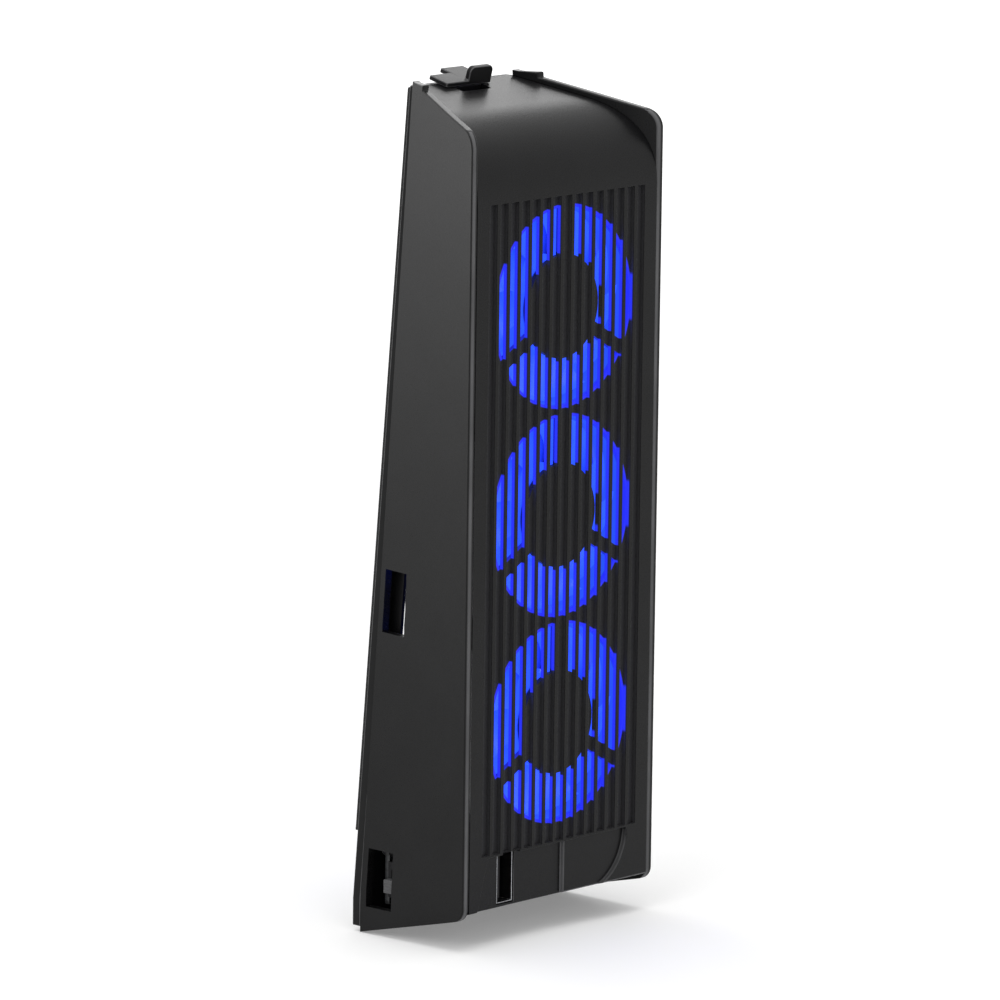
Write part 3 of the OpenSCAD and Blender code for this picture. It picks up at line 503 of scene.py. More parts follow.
def wound_copper():
    """Enamelled copper wire, laid turn by turn along each pole."""
    material, tree, shader = blank("coil_enamelled")
    wire_pitch = 0.22 * MM
    wire_height = 0.05 * MM
    wave = maths(tree, "SINE", product(tree, fan_radius(tree)[0], math.pi / wire_pitch))
    turns = maths(tree, "ABSOLUTE", wave)
    # Painted shade: the colour darkens in the creases between the turns
    surface(tree, shader, blend_colour(tree, turns, (0.16, 0.045, 0.015), (0.62, 0.24, 0.09)),
            step(tree, turns, 0.0, 1.0, 0.5, 0.24), metallic=1.0)
    bump(tree, shader, turns, wire_height)
    return material


# Mesh helpers

def new_object(name, data):
    """A new object in the scene."""
    made = bpy.data.objects.new(name, data)
    bpy.context.scene.collection.objects.link(made)
    return made


def finished(name, mesh, body, slot, nodes=(), materials=()):
    """Puts a finished mesh into the scene as a piece that rides on a body."""
    piece = new_object(name, mesh)
    for index, material in enumerate(materials):
        if index == len(mesh.materials):
            mesh.materials.append(None)
        mesh.materials[index] = material
    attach(piece, body)
    if nodes:
        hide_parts(*nodes)
    return piece


def evaluated_mesh(holder, name):
    """The plain mesh of an object with its modifiers, and the object removed."""
    bpy.context.view_layer.update()
    graph = bpy.context.evaluated_depsgraph_get()
    solved = holder.evaluated_get(graph)
    mesh = bpy.data.meshes.new_from_object(solved, preserve_all_data_layers=True, depsgraph=graph)
    mesh.name = name
    bpy.data.objects.remove(holder)
    return mesh


def merged_copy(node, cuts):
    """A mesh with a CAD node's triangles joined and its flat faces whole. A cut is a point and a normal
    of a plane, and a height under which the faces stay parted there, so that none goes round a hole."""
    work = bmesh.new()
    work.from_mesh(NODES[node].data)
    bmesh.ops.remove_doubles(work, verts=work.verts, dist=0.005 * MM)
    for point, normal, height in cuts:
        faces = [face for face in work.faces if all(vert.co.z < height for vert in face.verts)]
        edges = {edge for face in faces for edge in face.edges}
        verts = {vert for face in faces for vert in face.verts}
        made = bmesh.ops.bisect_plane(work, geom=[*verts, *edges, *faces], dist=0.001 * MM,
                                      plane_co=point, plane_no=normal)
        for item in made["geom_cut"]:
            if isinstance(item, bmesh.types.BMEdge):
                item.seam = True
    bmesh.ops.dissolve_limit(work, angle_limit=math.radians(0.2), verts=work.verts, edges=work.edges,
                             delimit={"SEAM"})
    return work


def set_sharp(mesh, degrees):
    """Marks a mesh's edges sharp where its faces turn by more than an angle."""
    work = bmesh.new()
    work.from_mesh(mesh)
    for edge in work.edges:
        edge.smooth = edge.calc_face_angle(0) < math.radians(degrees)
    work.to_mesh(mesh)
    work.free()


def smooth_mesh(work, name, sharp_degrees):
    """The mesh of a bmesh, which is freed, shaded smooth but for its sharper edges."""
    bmesh.ops.recalc_face_normals(work, faces=work.faces)
    mesh = bpy.data.meshes.new(name)
    work.to_mesh(mesh)
    work.free()
    mesh.shade_smooth()
    set_sharp(mesh, sharp_degrees)
    return mesh


def smooth_fans(vert):
    """The corners at a vertex, in groups that meet without a sharp edge between them."""
    left = set(vert.link_loops)
    while left:
        group = [left.pop()]
        for corner in group:
            for side in (corner, corner.link_loop_prev):
                if side.edge.smooth and side.edge.is_manifold:
                    beyond = side.link_loop_radial_next
                    near = beyond if beyond.vert is vert else beyond.link_loop_next
                    if near in left:
                        left.remove(near)
                        group.append(near)
        yield group


def even_normals(mesh, true_normal=None):
    """Sets each corner's normal to the mean of the faces that meet smoothly there, by their areas, or to
    the true normal of the curved surface that its face is a facet of."""
    facet_cosine = math.cos(math.radians(6))
    work = bmesh.new()
    work.from_mesh(mesh)
    areas = [face.calc_area() for face in work.faces]
    found = {}
    for vert in work.verts:
        for group in smooth_fans(vert):
            total = Vector()
            for corner in group:
                total += corner.face.normal * areas[corner.face.index]
            for corner in group:
                normal = total.normalized()
                if true_normal:
                    curved = true_normal(vert.co)
                    along = curved.dot(corner.face.normal)
                    if abs(along) > facet_cosine:
                        normal = curved if along > 0 else -curved
                found[corner.face.index, vert.index] = normal
    work.free()
    corners = [found[face.index, vert] for face in mesh.polygons for vert in face.vertices]
    mesh.normals_split_custom_set(corners)


def rounded_mesh(node, width, segments, share, cuts, true_normal):
    """A copy of a CAD node with its sharp edges rounded, in full or by the share for each edge's middle."""
    sharp_angle = math.radians(26)
    work = merged_copy(node, cuts)
    weights = work.edges.layers.float.new("bevel_weight_edge")
    for edge in work.edges:
        if edge.is_manifold and edge.calc_face_angle(0) > sharp_angle:
            edge[weights] = share((edge.verts[0].co + edge.verts[1].co) / 2) if share else 1.0
    mesh = bpy.data.meshes.new(node + "_round")
    work.to_mesh(mesh)
    work.free()
    mesh.shade_smooth()
    for _ in range(2):
        mesh.materials.append(None)
    holder = new_object(node + "_round", mesh)
    bevel = holder.modifiers.new("Round", "BEVEL")
    bevel.width = width
    bevel.segments = segments
    bevel.limit_method = "WEIGHT"
    bevel.use_clamp_overlap = False
    bevel.loop_slide = False
    # The bevels take the second coat, which on the black mouldings is the painted highlight of the edge
    # finish
    bevel.material = 1
    mesh = evaluated_mesh(holder, node + "_round")
    set_sharp(mesh, 50)
    even_normals(mesh, true_normal)
    return mesh


def stand_in(node, mesh, materials=()):
    """A piece that stands for a CAD node, on the node's body."""
    name = SHORT_NAMES.get(node, node) + "_finished"
    return finished(name, mesh, BODIES[node], SLOTS[node], [node], materials)


def rounded_piece(node, width, coat, edge_coat=None, segments=2, share=None, cuts=(), true_normal=None):
    """A piece that stands for a CAD node, with rounded edges, which may have a coat of their own."""
    mesh = rounded_mesh(node, width, segments, share, cuts, true_normal)
    return stand_in(node, mesh, [PAINT[coat], PAINT[edge_coat or coat]])


def lathe_mesh(name, profile, sides, cap=True):
    """A mesh turned about +Z from (radius, height) pairs."""
    work = bmesh.new()
    rings = []
    for radius, height in profile:
        ring = []
        for k in range(sides):
            angle = 2 * math.pi * k / sides
            ring.append(work.verts.new((radius * math.cos(angle), radius * math.sin(angle), height)))
        rings.append(ring)
    for low, high in zip(rings, rings[1:]):
        for k in range(sides):
            n = (k + 1) % sides
            work.faces.new((low[k], low[n], high[n], high[k]))
    if cap:
        work.faces.new(rings[0][::-1])
        work.faces.new(rings[-1])
    return smooth_mesh(work, name, 35)


# Trees of geometry nodes

def new_tree(name, **inputs):
    """A tree with named inputs of given kinds between its geometry and its material, and those inputs."""
    tree = bpy.data.node_groups.new(name, "GeometryNodeTree")
    for label, kind in {"Geometry": "Geometry", **inputs, "Material": "Material"}.items():
        tree.interface.new_socket(name=label, in_out="INPUT", socket_type="NodeSocket" + kind)
    tree.interface.new_socket(name="Geometry", in_out="OUTPUT", socket_type="NodeSocketGeometry")
    return tree, tree.nodes.new("NodeGroupInput").outputs


def close_tree(tree, start, geometry):
    """The tree, ended in Realize Instances and Set Material."""
    real = add_node(tree, "GeometryNodeRealizeInstances", {0: geometry}).outputs[0]
    coat = add_node(tree, "GeometryNodeSetMaterial", {"Geometry": real, "Material": start["Material"]})
    add_node(tree, "NodeGroupOutput", {0: coat.outputs[0]})
    return tree


def seats_tree():
    """Copies of a piece on points, each turned to face its point's facing attribute."""
    tree, start = new_tree("copies_on_seats", Piece="Object")
    info = add_node(tree, "GeometryNodeObjectInfo", {"Object": start["Piece"]})
    facing = add_node(tree, "GeometryNodeInputNamedAttribute", {"Name": "facing"}, data_type="FLOAT_VECTOR")
    direction = facing.outputs["Attribute"]
    turn = add_node(tree, "FunctionNodeAlignRotationToVector", {"Vector": direction}, axis="Z")
    copies = add_node(tree, "GeometryNodeInstanceOnPoints", {
        "Points": start["Geometry"], "Instance": info.outputs["Geometry"],
        "Rotation": turn.outputs["Rotation"]})
    return close_tree(tree, start, copies.outputs[0])


def row_tree():
    """Copies of a piece in a row, with a step and a turn from one to the next."""
    tree, start = new_tree("copies_in_a_row", Piece="Object", Count="Int", Start="Vector", Step="Vector",
                           Turn="Vector")
    info = add_node(tree, "GeometryNodeObjectInfo", {"Object": start["Piece"]})
    line = add_node(tree, "GeometryNodeMeshLine", {
        "Count": start["Count"], "Start Location": start["Start"], "Offset": start["Step"]})
    index = add_node(tree, "GeometryNodeInputIndex").outputs[0]
    turn = add_node(tree, "ShaderNodeVectorMath", {0: start["Turn"], "Scale": index}, operation="SCALE")
    copies = add_node(tree, "GeometryNodeInstanceOnPoints", {
        "Points": line.outputs[0], "Instance": info.outputs["Geometry"], "Rotation": turn.outputs[0]})
    return close_tree(tree, start, copies.outputs[0])


def lead_tree():
    """Two conductors side by side along a route with rounded bends."""
    half_spread = 0.95
    tree, start = new_tree("twin_lead", Bend="Float", Wire="Float")
    bends = add_node(tree, "GeometryNodeFilletCurve", {
        "Curve": start["Geometry"], "Count": 6, "Radius": start["Bend"]}, mode="POLY")
    circle = add_node(tree, "GeometryNodeCurvePrimitiveCircle", {"Resolution": 12, "Radius": start["Wire"]})
    joined = add_node(tree, "GeometryNodeJoinGeometry")
    for side in (-half_spread, half_spread):
        place = add_node(tree, "ShaderNodeCombineXYZ", {0: product(tree, start["Wire"], side)})
        moved = add_node(tree, "GeometryNodeTransform", {
            "Geometry": circle.outputs[0], "Translation": place.outputs[0]})
        tree.links.new(moved.outputs[0], joined.inputs[0])
    sweep = add_node(tree, "GeometryNodeCurveToMesh", {
        "Curve": bends.outputs[0], "Profile Curve": joined.outputs[0], "Fill Caps": True})
    return close_tree(tree, start, sweep.outputs[0])


def run_tree(tree, data, name, inputs):
    """The plain mesh that a tree makes from a mesh or curve."""
    holder = new_object(name + "_holder", data)
    modifier = holder.modifiers.new("Tree", "NODES")
    modifier.node_group = tree
    for item in tree.interface.items_tree:
        if item.item_type == "SOCKET" and item.in_out == "INPUT" and item.name in inputs:
            modifier[item.identifier] = inputs[item.name]
    return evaluated_mesh(holder, name)


def seat_points(name, seats):
    """A mesh of points, each with the direction that it faces."""
    mesh = bpy.data.meshes.new(name)
    mesh.from_pydata([place for place, _ in seats], [], [])
    facing = mesh.attributes.new("facing", "FLOAT_VECTOR", "POINT")
    for item, (_, direction) in zip(facing.data, seats):
        item.vector = direction
    return mesh


def copies_on(name, seats, piece_mesh, material):
    """One mesh with a copy of a piece on each seat."""
    piece = new_object(name + "_one", piece_mesh)
    mesh = run_tree(TREES["seats"], seat_points(name + "_seats", seats), name,
                    {"Piece": piece, "Material": material})
    bpy.data.objects.remove(piece)
    return mesh


def copies_row(name, piece_mesh, count, start, pitch, material, turn=(0, 0, 0)):
    """One mesh with a row of copies of a piece, turned on from one to the next."""
    piece = new_object(name + "_one", piece_mesh)
    mesh = run_tree(TREES["row"], bpy.data.meshes.new(name + "_row"), name, {
        "Piece": piece, "Count": count, "Start": start, "Step": pitch, "Turn": turn, "Material": material})
    bpy.data.objects.remove(piece)
    return mesh


def paint(node, material):
    """Gives a CAD node that stays in place a finish."""
    data = NODES[node].data
    data.materials.clear()
    data.materials.append(material)


def box_mesh(name, low, high, round_to, segments=2):
    """A box with rounded edges, between two corners."""
    work = bmesh.new()
    bmesh.ops.create_cube(work, size=1)
    size = Vector(high) - Vector(low)
    middle = (Vector(high) + Vector(low)) / 2
    for vert in work.verts:
        vert.co = middle + Vector(a * b for a, b in zip(vert.co, size))
    bmesh.ops.bevel(work, geom=work.edges[:], offset=round_to, segments=segments, profile=0.5, affect="EDGES")
    return smooth_mesh(work, name, 40)


# Operators

class COOLER_OT_finishes(bpy.types.Operator):
    """Make the finishes and the trees that the other operators share"""

    bl_idname = "cooler.finishes"
    bl_label = "Finishes"

    def execute(self, context):
        finish = context.scene.cooler_finish
        black, edge, grain = finish.shell_colour, finish.edge_highlight_colour, finish.grain
        plastics = {
            # The edge finishes, full and faint, are painted highlights for rounded edges and for walls that
            # face the light
            "edge": ("edge_highlight_satin", edge, EDGE_ROUGH, grain),
            "faint_highlight": ("faint_highlight_satin", shade(edge, 0.5), EDGE_ROUGH, grain),
            "front": ("front_satin", shade(black, 0.9), 0.46, grain),
            "chip": ("chip_moulded", (0.011, 0.011, 0.012), 0.5, 0.12 * MM),
            "knob": ("knob_grey", (0.1, 0.1, 0.104), 0.45, grain),
            "latch": ("latch_satin", shade(black, 1.5), 0.38, grain),
            "jacket": ("lead_jacket", (0.012, 0.012, 0.012), 0.4, 0.3 * MM),
            "nylon": ("socket_nylon", (0.72, 0.71, 0.65), 0.48, 0.3 * MM),
            "magnet": ("magnet_ferrite", (0.05, 0.05, 0.054), 0.6, 0.25 * MM),
        }
        metals = {
            "shaft": ("shaft_ground", (0.6, 0.6, 0.62), 0.22, (1, 12, 1)),
            "bronze": ("bearing_sintered", (0.5, 0.33, 0.14), 0.5, (1, 1, 1), 0.15 * MM, 0.02 * MM),
            "core": ("core_stamped", (0.35, 0.36, 0.38), 0.4, (1, 14, 1)),
            "tin": ("shell_tinned", (0.55, 0.56, 0.58), 0.3, (1, 0.12, 1), 0.4 * MM, 0.0012 * MM),
            "dark_tin": ("port_blackened", (0.09, 0.09, 0.095), 0.34, (1, 0.12, 1)),
            "gold": ("contact_gold", (0.85, 0.6, 0.24), 0.24, (1, 0.2, 1)),
            "screw": ("screw_zinc", (0.42, 0.42, 0.44), 0.32, (1, 1, 1), 0.25 * MM),
        }
        PAINT.update({coat: moulded(*look)[0] for coat, look in plastics.items()})
        PAINT.update({coat: metal(*look) for coat, look in metals.items()})
        PAINT["shell"] = grille_plastic(finish)
        # Each cheek's rim gets its painted highlight line, inset from its outer face by the last number
        for side, inward, inset in (("left", 1.0, 0.1 * MM), ("right", -1.0, 0.8 * MM)):
            PAINT[side + "_cheek"] = cheek_plastic(finish, side + "_cheek_satin", inward)
            PAINT[side + "_cheek_rim"] = cheek_rim_highlight_plastic(finish, side + "_rim_highlight_satin", inset)
        PAINT["fan_frame"] = frame_plastic(finish)
        PAINT["rotor"] = rotor_plastic(finish)
        PAINT["foam"] = foam_finish()
        PAINT["board"] = board_finish()
        PAINT["lamp"] = lamp_finish(finish)
        PAINT["coil"] = wound_copper()
        TREES["seats"] = seats_tree()
        TREES["row"] = row_tree()
        TREES["lead"] = lead_tree()
        return {"FINISHED"}


class COOLER_OT_shell(bpy.types.Operator):
    """Make the rear shell with its grooved grille"""

    bl_idname = "cooler.shell"
    bl_label = "Rear shell"

    def execute(self, context):
        finish = context.scene.cooler_finish
        panel_top = -81.2 * MM
        panel_side = 30 * MM
        panel_y = 2.1 * MM - UNIT_D
        step_x = 2 * MM
        arc_x = 6 * MM
        plain_x = -15 * MM
        least_turn = 0.15
        flat = 0.95
        faint_share = 0.35
        seam_x = 32.5 * MM
        seam_y = 0.5 * MM - UNIT_D
        grille_y = 0.05 * MM - UNIT_D
        across_grooves = ((0, 0, 1.17 * MM), (0, 0, 1), 1.0)
        down_port = ((-17.43 * MM, 0, 0), (1, 0, 0), -80 * MM)
        across_port = ((0, 0, -87.13 * MM), (0, 0, 1), 1.0)

        def share(middle):
            """More on the panel's steps than on the grooves, and nothing on the sides and deeper in."""
            on_panel = middle.z < panel_top
            if abs(middle.x) > panel_side or middle.y > (panel_y if on_panel else grille_y):
                return 0.0
            return 1.0 if on_panel and middle.x > step_x else faint_share

        piece = rounded_piece("rear_shell", 0.7 * finish.edge_round, "shell", "edge", share=share,
                              cuts=(across_grooves, down_port, across_port))
        piece.data.materials.append(PAINT["faint_highlight"])
        # Painted highlight: the panel's step and arc walls that face the light, to the left or up, take the
        # edge finish, fainter beyond arc_x
        for face in piece.data.polygons:
            lit_side = face.normal.x < -least_turn or face.normal.z > least_turn
            turned = face.normal.y > -flat and lit_side
            if face.center.z > panel_top or face.center.x < plain_x:
                face.material_index = 0
            elif turned and face.center.x > step_x and face.center.y < panel_y:
                face.material_index = 1 if face.center.x < arc_x else 2
        for vert in piece.data.vertices:
            if abs(vert.co.x) > seam_x and vert.co.y < seam_y:
                vert.co.x += math.copysign(SEAM, vert.co.x)
        return {"FINISHED"}


class COOLER_OT_cheeks(bpy.types.Operator):
    """Make the two flared cheeks"""

    bl_idname = "cooler.cheeks"
    bl_label = "Cheeks"

    def execute(self, context):
        finish = context.scene.cooler_finish
        rim_y = 0.4 * MM - UNIT_D
        corner_y = 9 * MM - UNIT_D
        corner_z = 88 * MM
        front_y = 32.5 * MM - UNIT_D
        rear_cosine = 0.5
        side_cosine = 0.35

        def share(middle):
            """All on the rear rim, the top and the rear corners, and nothing elsewhere."""
            on_top = middle.z > corner_z and middle.y < front_y
            on_corner = abs(middle.z) > corner_z and middle.y < corner_y
            return 1.0 if middle.y < rim_y or on_top or on_corner else 0.0

        def twisted(place):
            """The normal of the cheek's flared side, which the CAD model has in facets."""
            hand = 1 if place.x > 0 else -1
            slope = FLARE / REAR_H
            return Vector((hand, slope * (place.z + REAR_H / 2), slope * (place.y + UNIT_D))).normalized()

        for node, hand in (("left_cheek", -1), ("right_cheek", 1)):
            piece = rounded_piece(node, 0.9 * finish.edge_round, node, node + "_rim", 3, share,
                                  true_normal=twisted)
            # The rear rim's faces take the cheek's painted highlight finish
            for face in piece.data.polygons:
                rearward = face.center.y < corner_y and face.normal.y < -rear_cosine
                face.material_index = int(rearward and hand * face.normal.x < side_cosine)
        return {"FINISHED"}


def mouth_rib_mesh(name, hand):
    """A stiffening rib on the frame's inner face, along one side of the tapered air mouth."""
    depth = 3.8 * MM
    thickness = 1.2 * MM
    sink = 0.3 * MM
    set_back = 0.1 * MM
    low_z = -68 * MM
    high_z = 84 * MM
    low = (0, FRAME_BACK_Y - depth, low_z)
    high = (thickness, FRAME_BACK_Y + sink, high_z)
    mesh = box_mesh(name, low, high, 0.3 * MM)
    for vert in mesh.vertices:
        lean = FLARE * (vert.co.z / REAR_H + 0.5)
        vert.co.x = hand * (vert.co.x + HALF_W - FRAME_BORDER - lean * UNIT_D + set_back)
    if hand < 0:
        mesh.flip_normals()
    return mesh


class COOLER_OT_front(bpy.types.Operator):
    """Make the front frame and its foam seal"""

    bl_idname = "cooler.front"
    bl_label = "Front frame and seal"

    def execute(self, context):
        finish = context.scene.cooler_finish
        # The frame's rounded edges get the painted highlight of the edge finish
        rounded_piece("front_frame", 0.6 * finish.edge_round, "front", "edge")
        for side, hand in (("left", -1), ("right", 1)):
            name = "mouth_rib_%s_finished" % side
            finished(name, mouth_rib_mesh(name, hand), "housing", "frame_black", materials=[PAINT["front"]])
        across_mouth = ((0, 0, 10 * MM), (0, 0, 1), 1.0)
        down_mouth = ((0.3 * MM, 0, 0), (1, 0, 0), 1.0)
        seal = rounded_piece("mouth_seal", finish.edge_round, "foam", segments=3,
                             cuts=[across_mouth, down_mouth])
        return {"FINISHED"}


class COOLER_OT_fan_frames(bpy.types.Operator):
    """Make the three fan frames"""

    bl_idname = "cooler.fan_frames"
    bl_label = "Fan frames"

    def execute(self, context):
        finish = context.scene.cooler_finish
        for fan in FANS:
            rounded_piece("fan_frame_" + fan, 0.6 * finish.edge_round, "fan_frame")
        return {"FINISHED"}


def blade_mesh(fans, low_y, high_y):
    """One twisted blade about the Y axis, thin at its edges, with its root inside the hub."""
    across, along = 12, 18
    edge_thinning = 0.55
    tip_thinning = 0.3
    depth_share = 0.88
    root_r = HUB_R - 0.4 * MM
    work = bmesh.new()
    chord = work.verts.layers.float.new("chord")
    sides = []
    for side in (-1, 1):
        grid = []
        for i in range(across + 1):
            out = i / across
            radius = root_r + (fans.tip_radius - root_r) * out
            line = []
            for j in range(along + 1):
                run = 2 * j / along - 1
                thin = (1 - edge_thinning * run * run) * (1 - tip_thinning * out)
                thick = fans.blade_thickness / 2 * thin
                turn = fans.blade_sweep * out * out - run * fans.blade_wrap / 2
                rise = (low_y + high_y) / 2 + run * (high_y - low_y) / 2 * depth_share + side * thick
                vert = work.verts.new((radius * math.cos(turn), rise, radius * math.sin(turn)))
                vert[chord] = j / along
                line.append(vert)
            grid.append(line)
        sides.append(grid)
    low, high = sides
    for i in range(across):
        for j in range(along):
            work.faces.new((low[i][j], low[i + 1][j], low[i + 1][j + 1], low[i][j + 1]))
            work.faces.new((high[i][j], high[i][j + 1], high[i + 1][j + 1], high[i + 1][j]))
    for i in range(across):
        work.faces.new((low[i][0], high[i][0], high[i + 1][0], low[i + 1][0]))
        work.faces.new((low[i][along], low[i + 1][along], high[i + 1][along], high[i][along]))
    for j in range(along):
        work.faces.new((low[0][j], low[0][j + 1], high[0][j + 1], high[0][j]))
        work.faces.new((low[across][j], high[across][j], high[across][j + 1], low[across][j + 1]))
    return smooth_mesh(work, "blade_one", 50)


def hub_mesh(low_y, high_y, wall_y):
    """The rotor's cup about the Y axis, closed at the rear and hollow at the front."""
    edge = 0.8 * MM
    brim = 0.3 * MM
    inner_r = HUB_R - 1.1 * MM
    shaft_r = 1.05 * MM
    boss_r = shaft_r + 1.5 * MM
    boss_y = wall_y + 1.6 * MM
    pit_y = low_y + 0.5 * MM
    axis_r = 0.01 * MM
    profile = [
        (shaft_r, boss_y), (shaft_r, pit_y), (axis_r, pit_y), (axis_r, low_y), (HUB_R - edge, low_y),
        (HUB_R - 0.3 * edge, low_y + 0.3 * edge), (HUB_R, low_y + edge), (HUB_R, high_y - brim),
        (HUB_R - brim, high_y), (inner_r, high_y), (inner_r, wall_y), (boss_r, wall_y), (boss_r, boss_y),
        (shaft_r, boss_y),
    ]
    mesh = lathe_mesh("hub_one", profile, 64, cap=False)
    work = bmesh.new()
    work.from_mesh(mesh)
    bmesh.ops.remove_doubles(work, verts=work.verts, dist=0.005 * MM)
    bmesh.ops.rotate(work, verts=work.verts, matrix=Matrix.Rotation(math.radians(-90), 3, "X"))
    bmesh.ops.recalc_face_normals(work, faces=work.faces)
    work.to_mesh(mesh)
    work.free()
    set_sharp(mesh, 35)
    return mesh


class COOLER_OT_rotors(bpy.types.Operator):
    """Make the three lit rotors, each with its ring of twisted blades"""

    bl_idname = "cooler.rotors"
    bl_label = "Rotors"

    def execute(self, context):
        fans = context.scene.cooler_fans
        count = fans.blade_count
        for fan in FANS:
            node = "fan_rotor_" + fan
            low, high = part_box(node)
            blade = blade_mesh(fans, low.y + 0.5 * MM, high.y)
            blades = copies_row("blades_" + fan, blade, count, (0, 0, FAN_Z[fan]), (0, 0, 0), PAINT["rotor"],
                                (0, 2 * math.pi / count, 0))
            hub = hub_mesh(low.y, high.y, low.y + 1.2 * MM)
            hub.transform(Matrix.Translation((0, 0, FAN_Z[fan])))
            work = bmesh.new()
            work.from_mesh(blades)
            work.from_mesh(hub)
            work.to_mesh(blades)
            work.free()
            bpy.data.meshes.remove(hub)
            stand_in(node, blades, [PAINT["rotor"]])
        return {"FINISHED"}


class COOLER_OT_motors(bpy.types.Operator):
    """Finish the motor pieces inside the hubs"""

    bl_idname = "cooler.motors"
    bl_label = "Motors"

    def execute(self, context):
        coats = {"shaft": "shaft", "bearing": "bronze", "stator": "core", "coils": "coil", "magnet": "magnet",
                 "board": "board"}
        for fan in FANS:
            for part, coat in coats.items():
                paint("fan_%s_%s" % (part, fan), PAINT[coat])
        return {"FINISHED"}


class COOLER_OT_lamps(bpy.types.Operator):
    """Make the domed lamps in the fan frames"""

    bl_idname = "cooler.lamps"
    bl_label = "Lamps"

    def execute(self, context):
        radius, length, sink = 1.5 * MM, 4.5 * MM, 0.4 * MM
        first_angle = math.radians(33)
        middle_y = FAN_BACK_Y + 6 * MM
        dome = [(radius * math.cos(a), length - radius * (1 - math.sin(a)))
                for a in (0, 0.3, 0.6, 0.9, 1.2, 1.45)]
        one = lathe_mesh("lamp_one", [(radius, 0), *dome], 20)
        seats = []
        for fan in FANS:
            for k in range(4):
                angle = first_angle + k * math.pi / 2
                out = Vector((math.cos(angle), 0, -math.sin(angle)))
                start = out * (BORE_R + sink + length) + Vector((0, middle_y, FAN_Z[fan]))
                seats.append((start, -out))
        stand_in("lamps", copies_on("lamps_finished", seats, one, PAINT["lamp"]))
        return {"FINISHED"}


class COOLER_OT_boards(bpy.types.Operator):
    """Make the circuit boards with their chips and header pins"""

    bl_idname = "cooler.boards"
    bl_label = "Boards"

    def execute(self, context):
        for node in ("port_board", "main_board"):
            rounded_piece(node, 0.15 * MM, "board", segments=1)
        for node in ("board_chips", "pin_header"):
            rounded_piece(node, 0.2 * MM, "chip", segments=1)
        low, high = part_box("board_chips")
        pitch = 1.2 * MM
        leg = box_mesh("chip_leg", (-0.2 * MM, -0.5 * MM, -0.6 * MM), (0.2 * MM, 0, 0.6 * MM), 0.08 * MM, 1)
        legs = copies_row("chip_legs_finished", leg, 4, (low.x + pitch, MAIN_BOARD_BACK_Y, high.z),
                          (pitch, 0, 0), PAINT["tin"])
        finished("chip_legs_finished", legs, "housing", "tin_bright")
        return {"FINISHED"}


def contacts(name, x, y, middle_z, pitch, width):
    """Gold contact strips, one over the other, about a height."""
    count = 4
    half = Vector((0.12 * MM, 7 * MM, width)) / 2
    one = box_mesh(name + "_one", -half, half, 0.06 * MM, 1)
    low_z = middle_z - (count - 1) / 2 * pitch
    mesh = copies_row(name, one, count, (x, y, low_z), (0, 0, pitch), PAINT["gold"])
    finished(name, mesh, "housing", "tin_bright")


class COOLER_OT_port(bpy.types.Operator):
    """Make the data port with its tongue and contacts"""

    bl_idname = "cooler.port"
    bl_label = "Data port"

    def execute(self, context):
        width = context.scene.cooler_small.contact_width
        rounded_piece("usb_port_shell", 0.1 * MM, "dark_tin", "tin", 1)
        rounded_piece("usb_port_tongue", 0.15 * MM, "chip", segments=1)
        low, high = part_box("usb_port_tongue")
        tongue_right = -17.7 * MM
        middle_z = (low.z + high.z) / 2
        contacts("port_contacts_finished", tongue_right, low.y + 4.4 * MM, middle_z, 2.4 * MM, width)
        return {"FINISHED"}


class COOLER_OT_plug(bpy.types.Operator):
    """Make the plug with its core and contacts"""

    bl_idname = "cooler.plug"
    bl_label = "Plug"

    def execute(self, context):
        width = context.scene.cooler_small.contact_width
        rounded_piece("usb_plug_shell", 0.12 * MM, "tin", segments=1)
        rounded_piece("usb_plug_core", 0.12 * MM, "chip", segments=1)
        low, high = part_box("usb_plug_core")
        tongue_right = low.x + 1.9 * MM
        middle_z = (low.z + high.z) / 2
        contacts("plug_contacts_finished", tongue_right, high.y - 5 * MM, middle_z, 2.2 * MM, width)
        return {"FINISHED"}


class COOLER_OT_switch(bpy.types.Operator):
    """Make the slide switch and its ridged knob"""

    bl_idname = "cooler.switch"
    bl_label = "Switch"

    def execute(self, context):
        rounded_piece("switch_body", 0.15 * MM, "chip", segments=1)
        rounded_piece("switch_knob", 0.2 * MM, "knob")
        low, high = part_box("switch_knob")
        middle_y = (low.y + high.y) / 2
        half, rise = 1.4 * MM, 0.16 * MM
        ridge = box_mesh("knob_ridge", (-0.1 * MM, -half, -rise), (0.12 * MM, half, rise), 0.07 * MM)
        ridges = copies_row("knob_ridges_finished", ridge, 4, (low.x, middle_y, low.z + 0.65 * MM),
                            (0, 0, 0.7 * MM), PAINT["knob"])
        finished("knob_ridges_finished", ridges, "knob", "knob_grey")
        return {"FINISHED"}


class COOLER_OT_latch(bpy.types.Operator):
    """Make the thumb latch and its retainer"""

    bl_idname = "cooler.latch"
    bl_label = "Latch"

    def execute(self, context):
        down_tab = ((-2.7 * MM, 0, 0), (1, 0, 0), 1.0)
        # The slider's rounded edges get the painted highlight of the edge finish
        rounded_piece("latch_slider", 0.25 * MM, "latch", "edge", cuts=[down_tab])
        rounded_piece("latch_retainer", 0.2 * MM, "latch", segments=1)
        return {"FINISHED"}


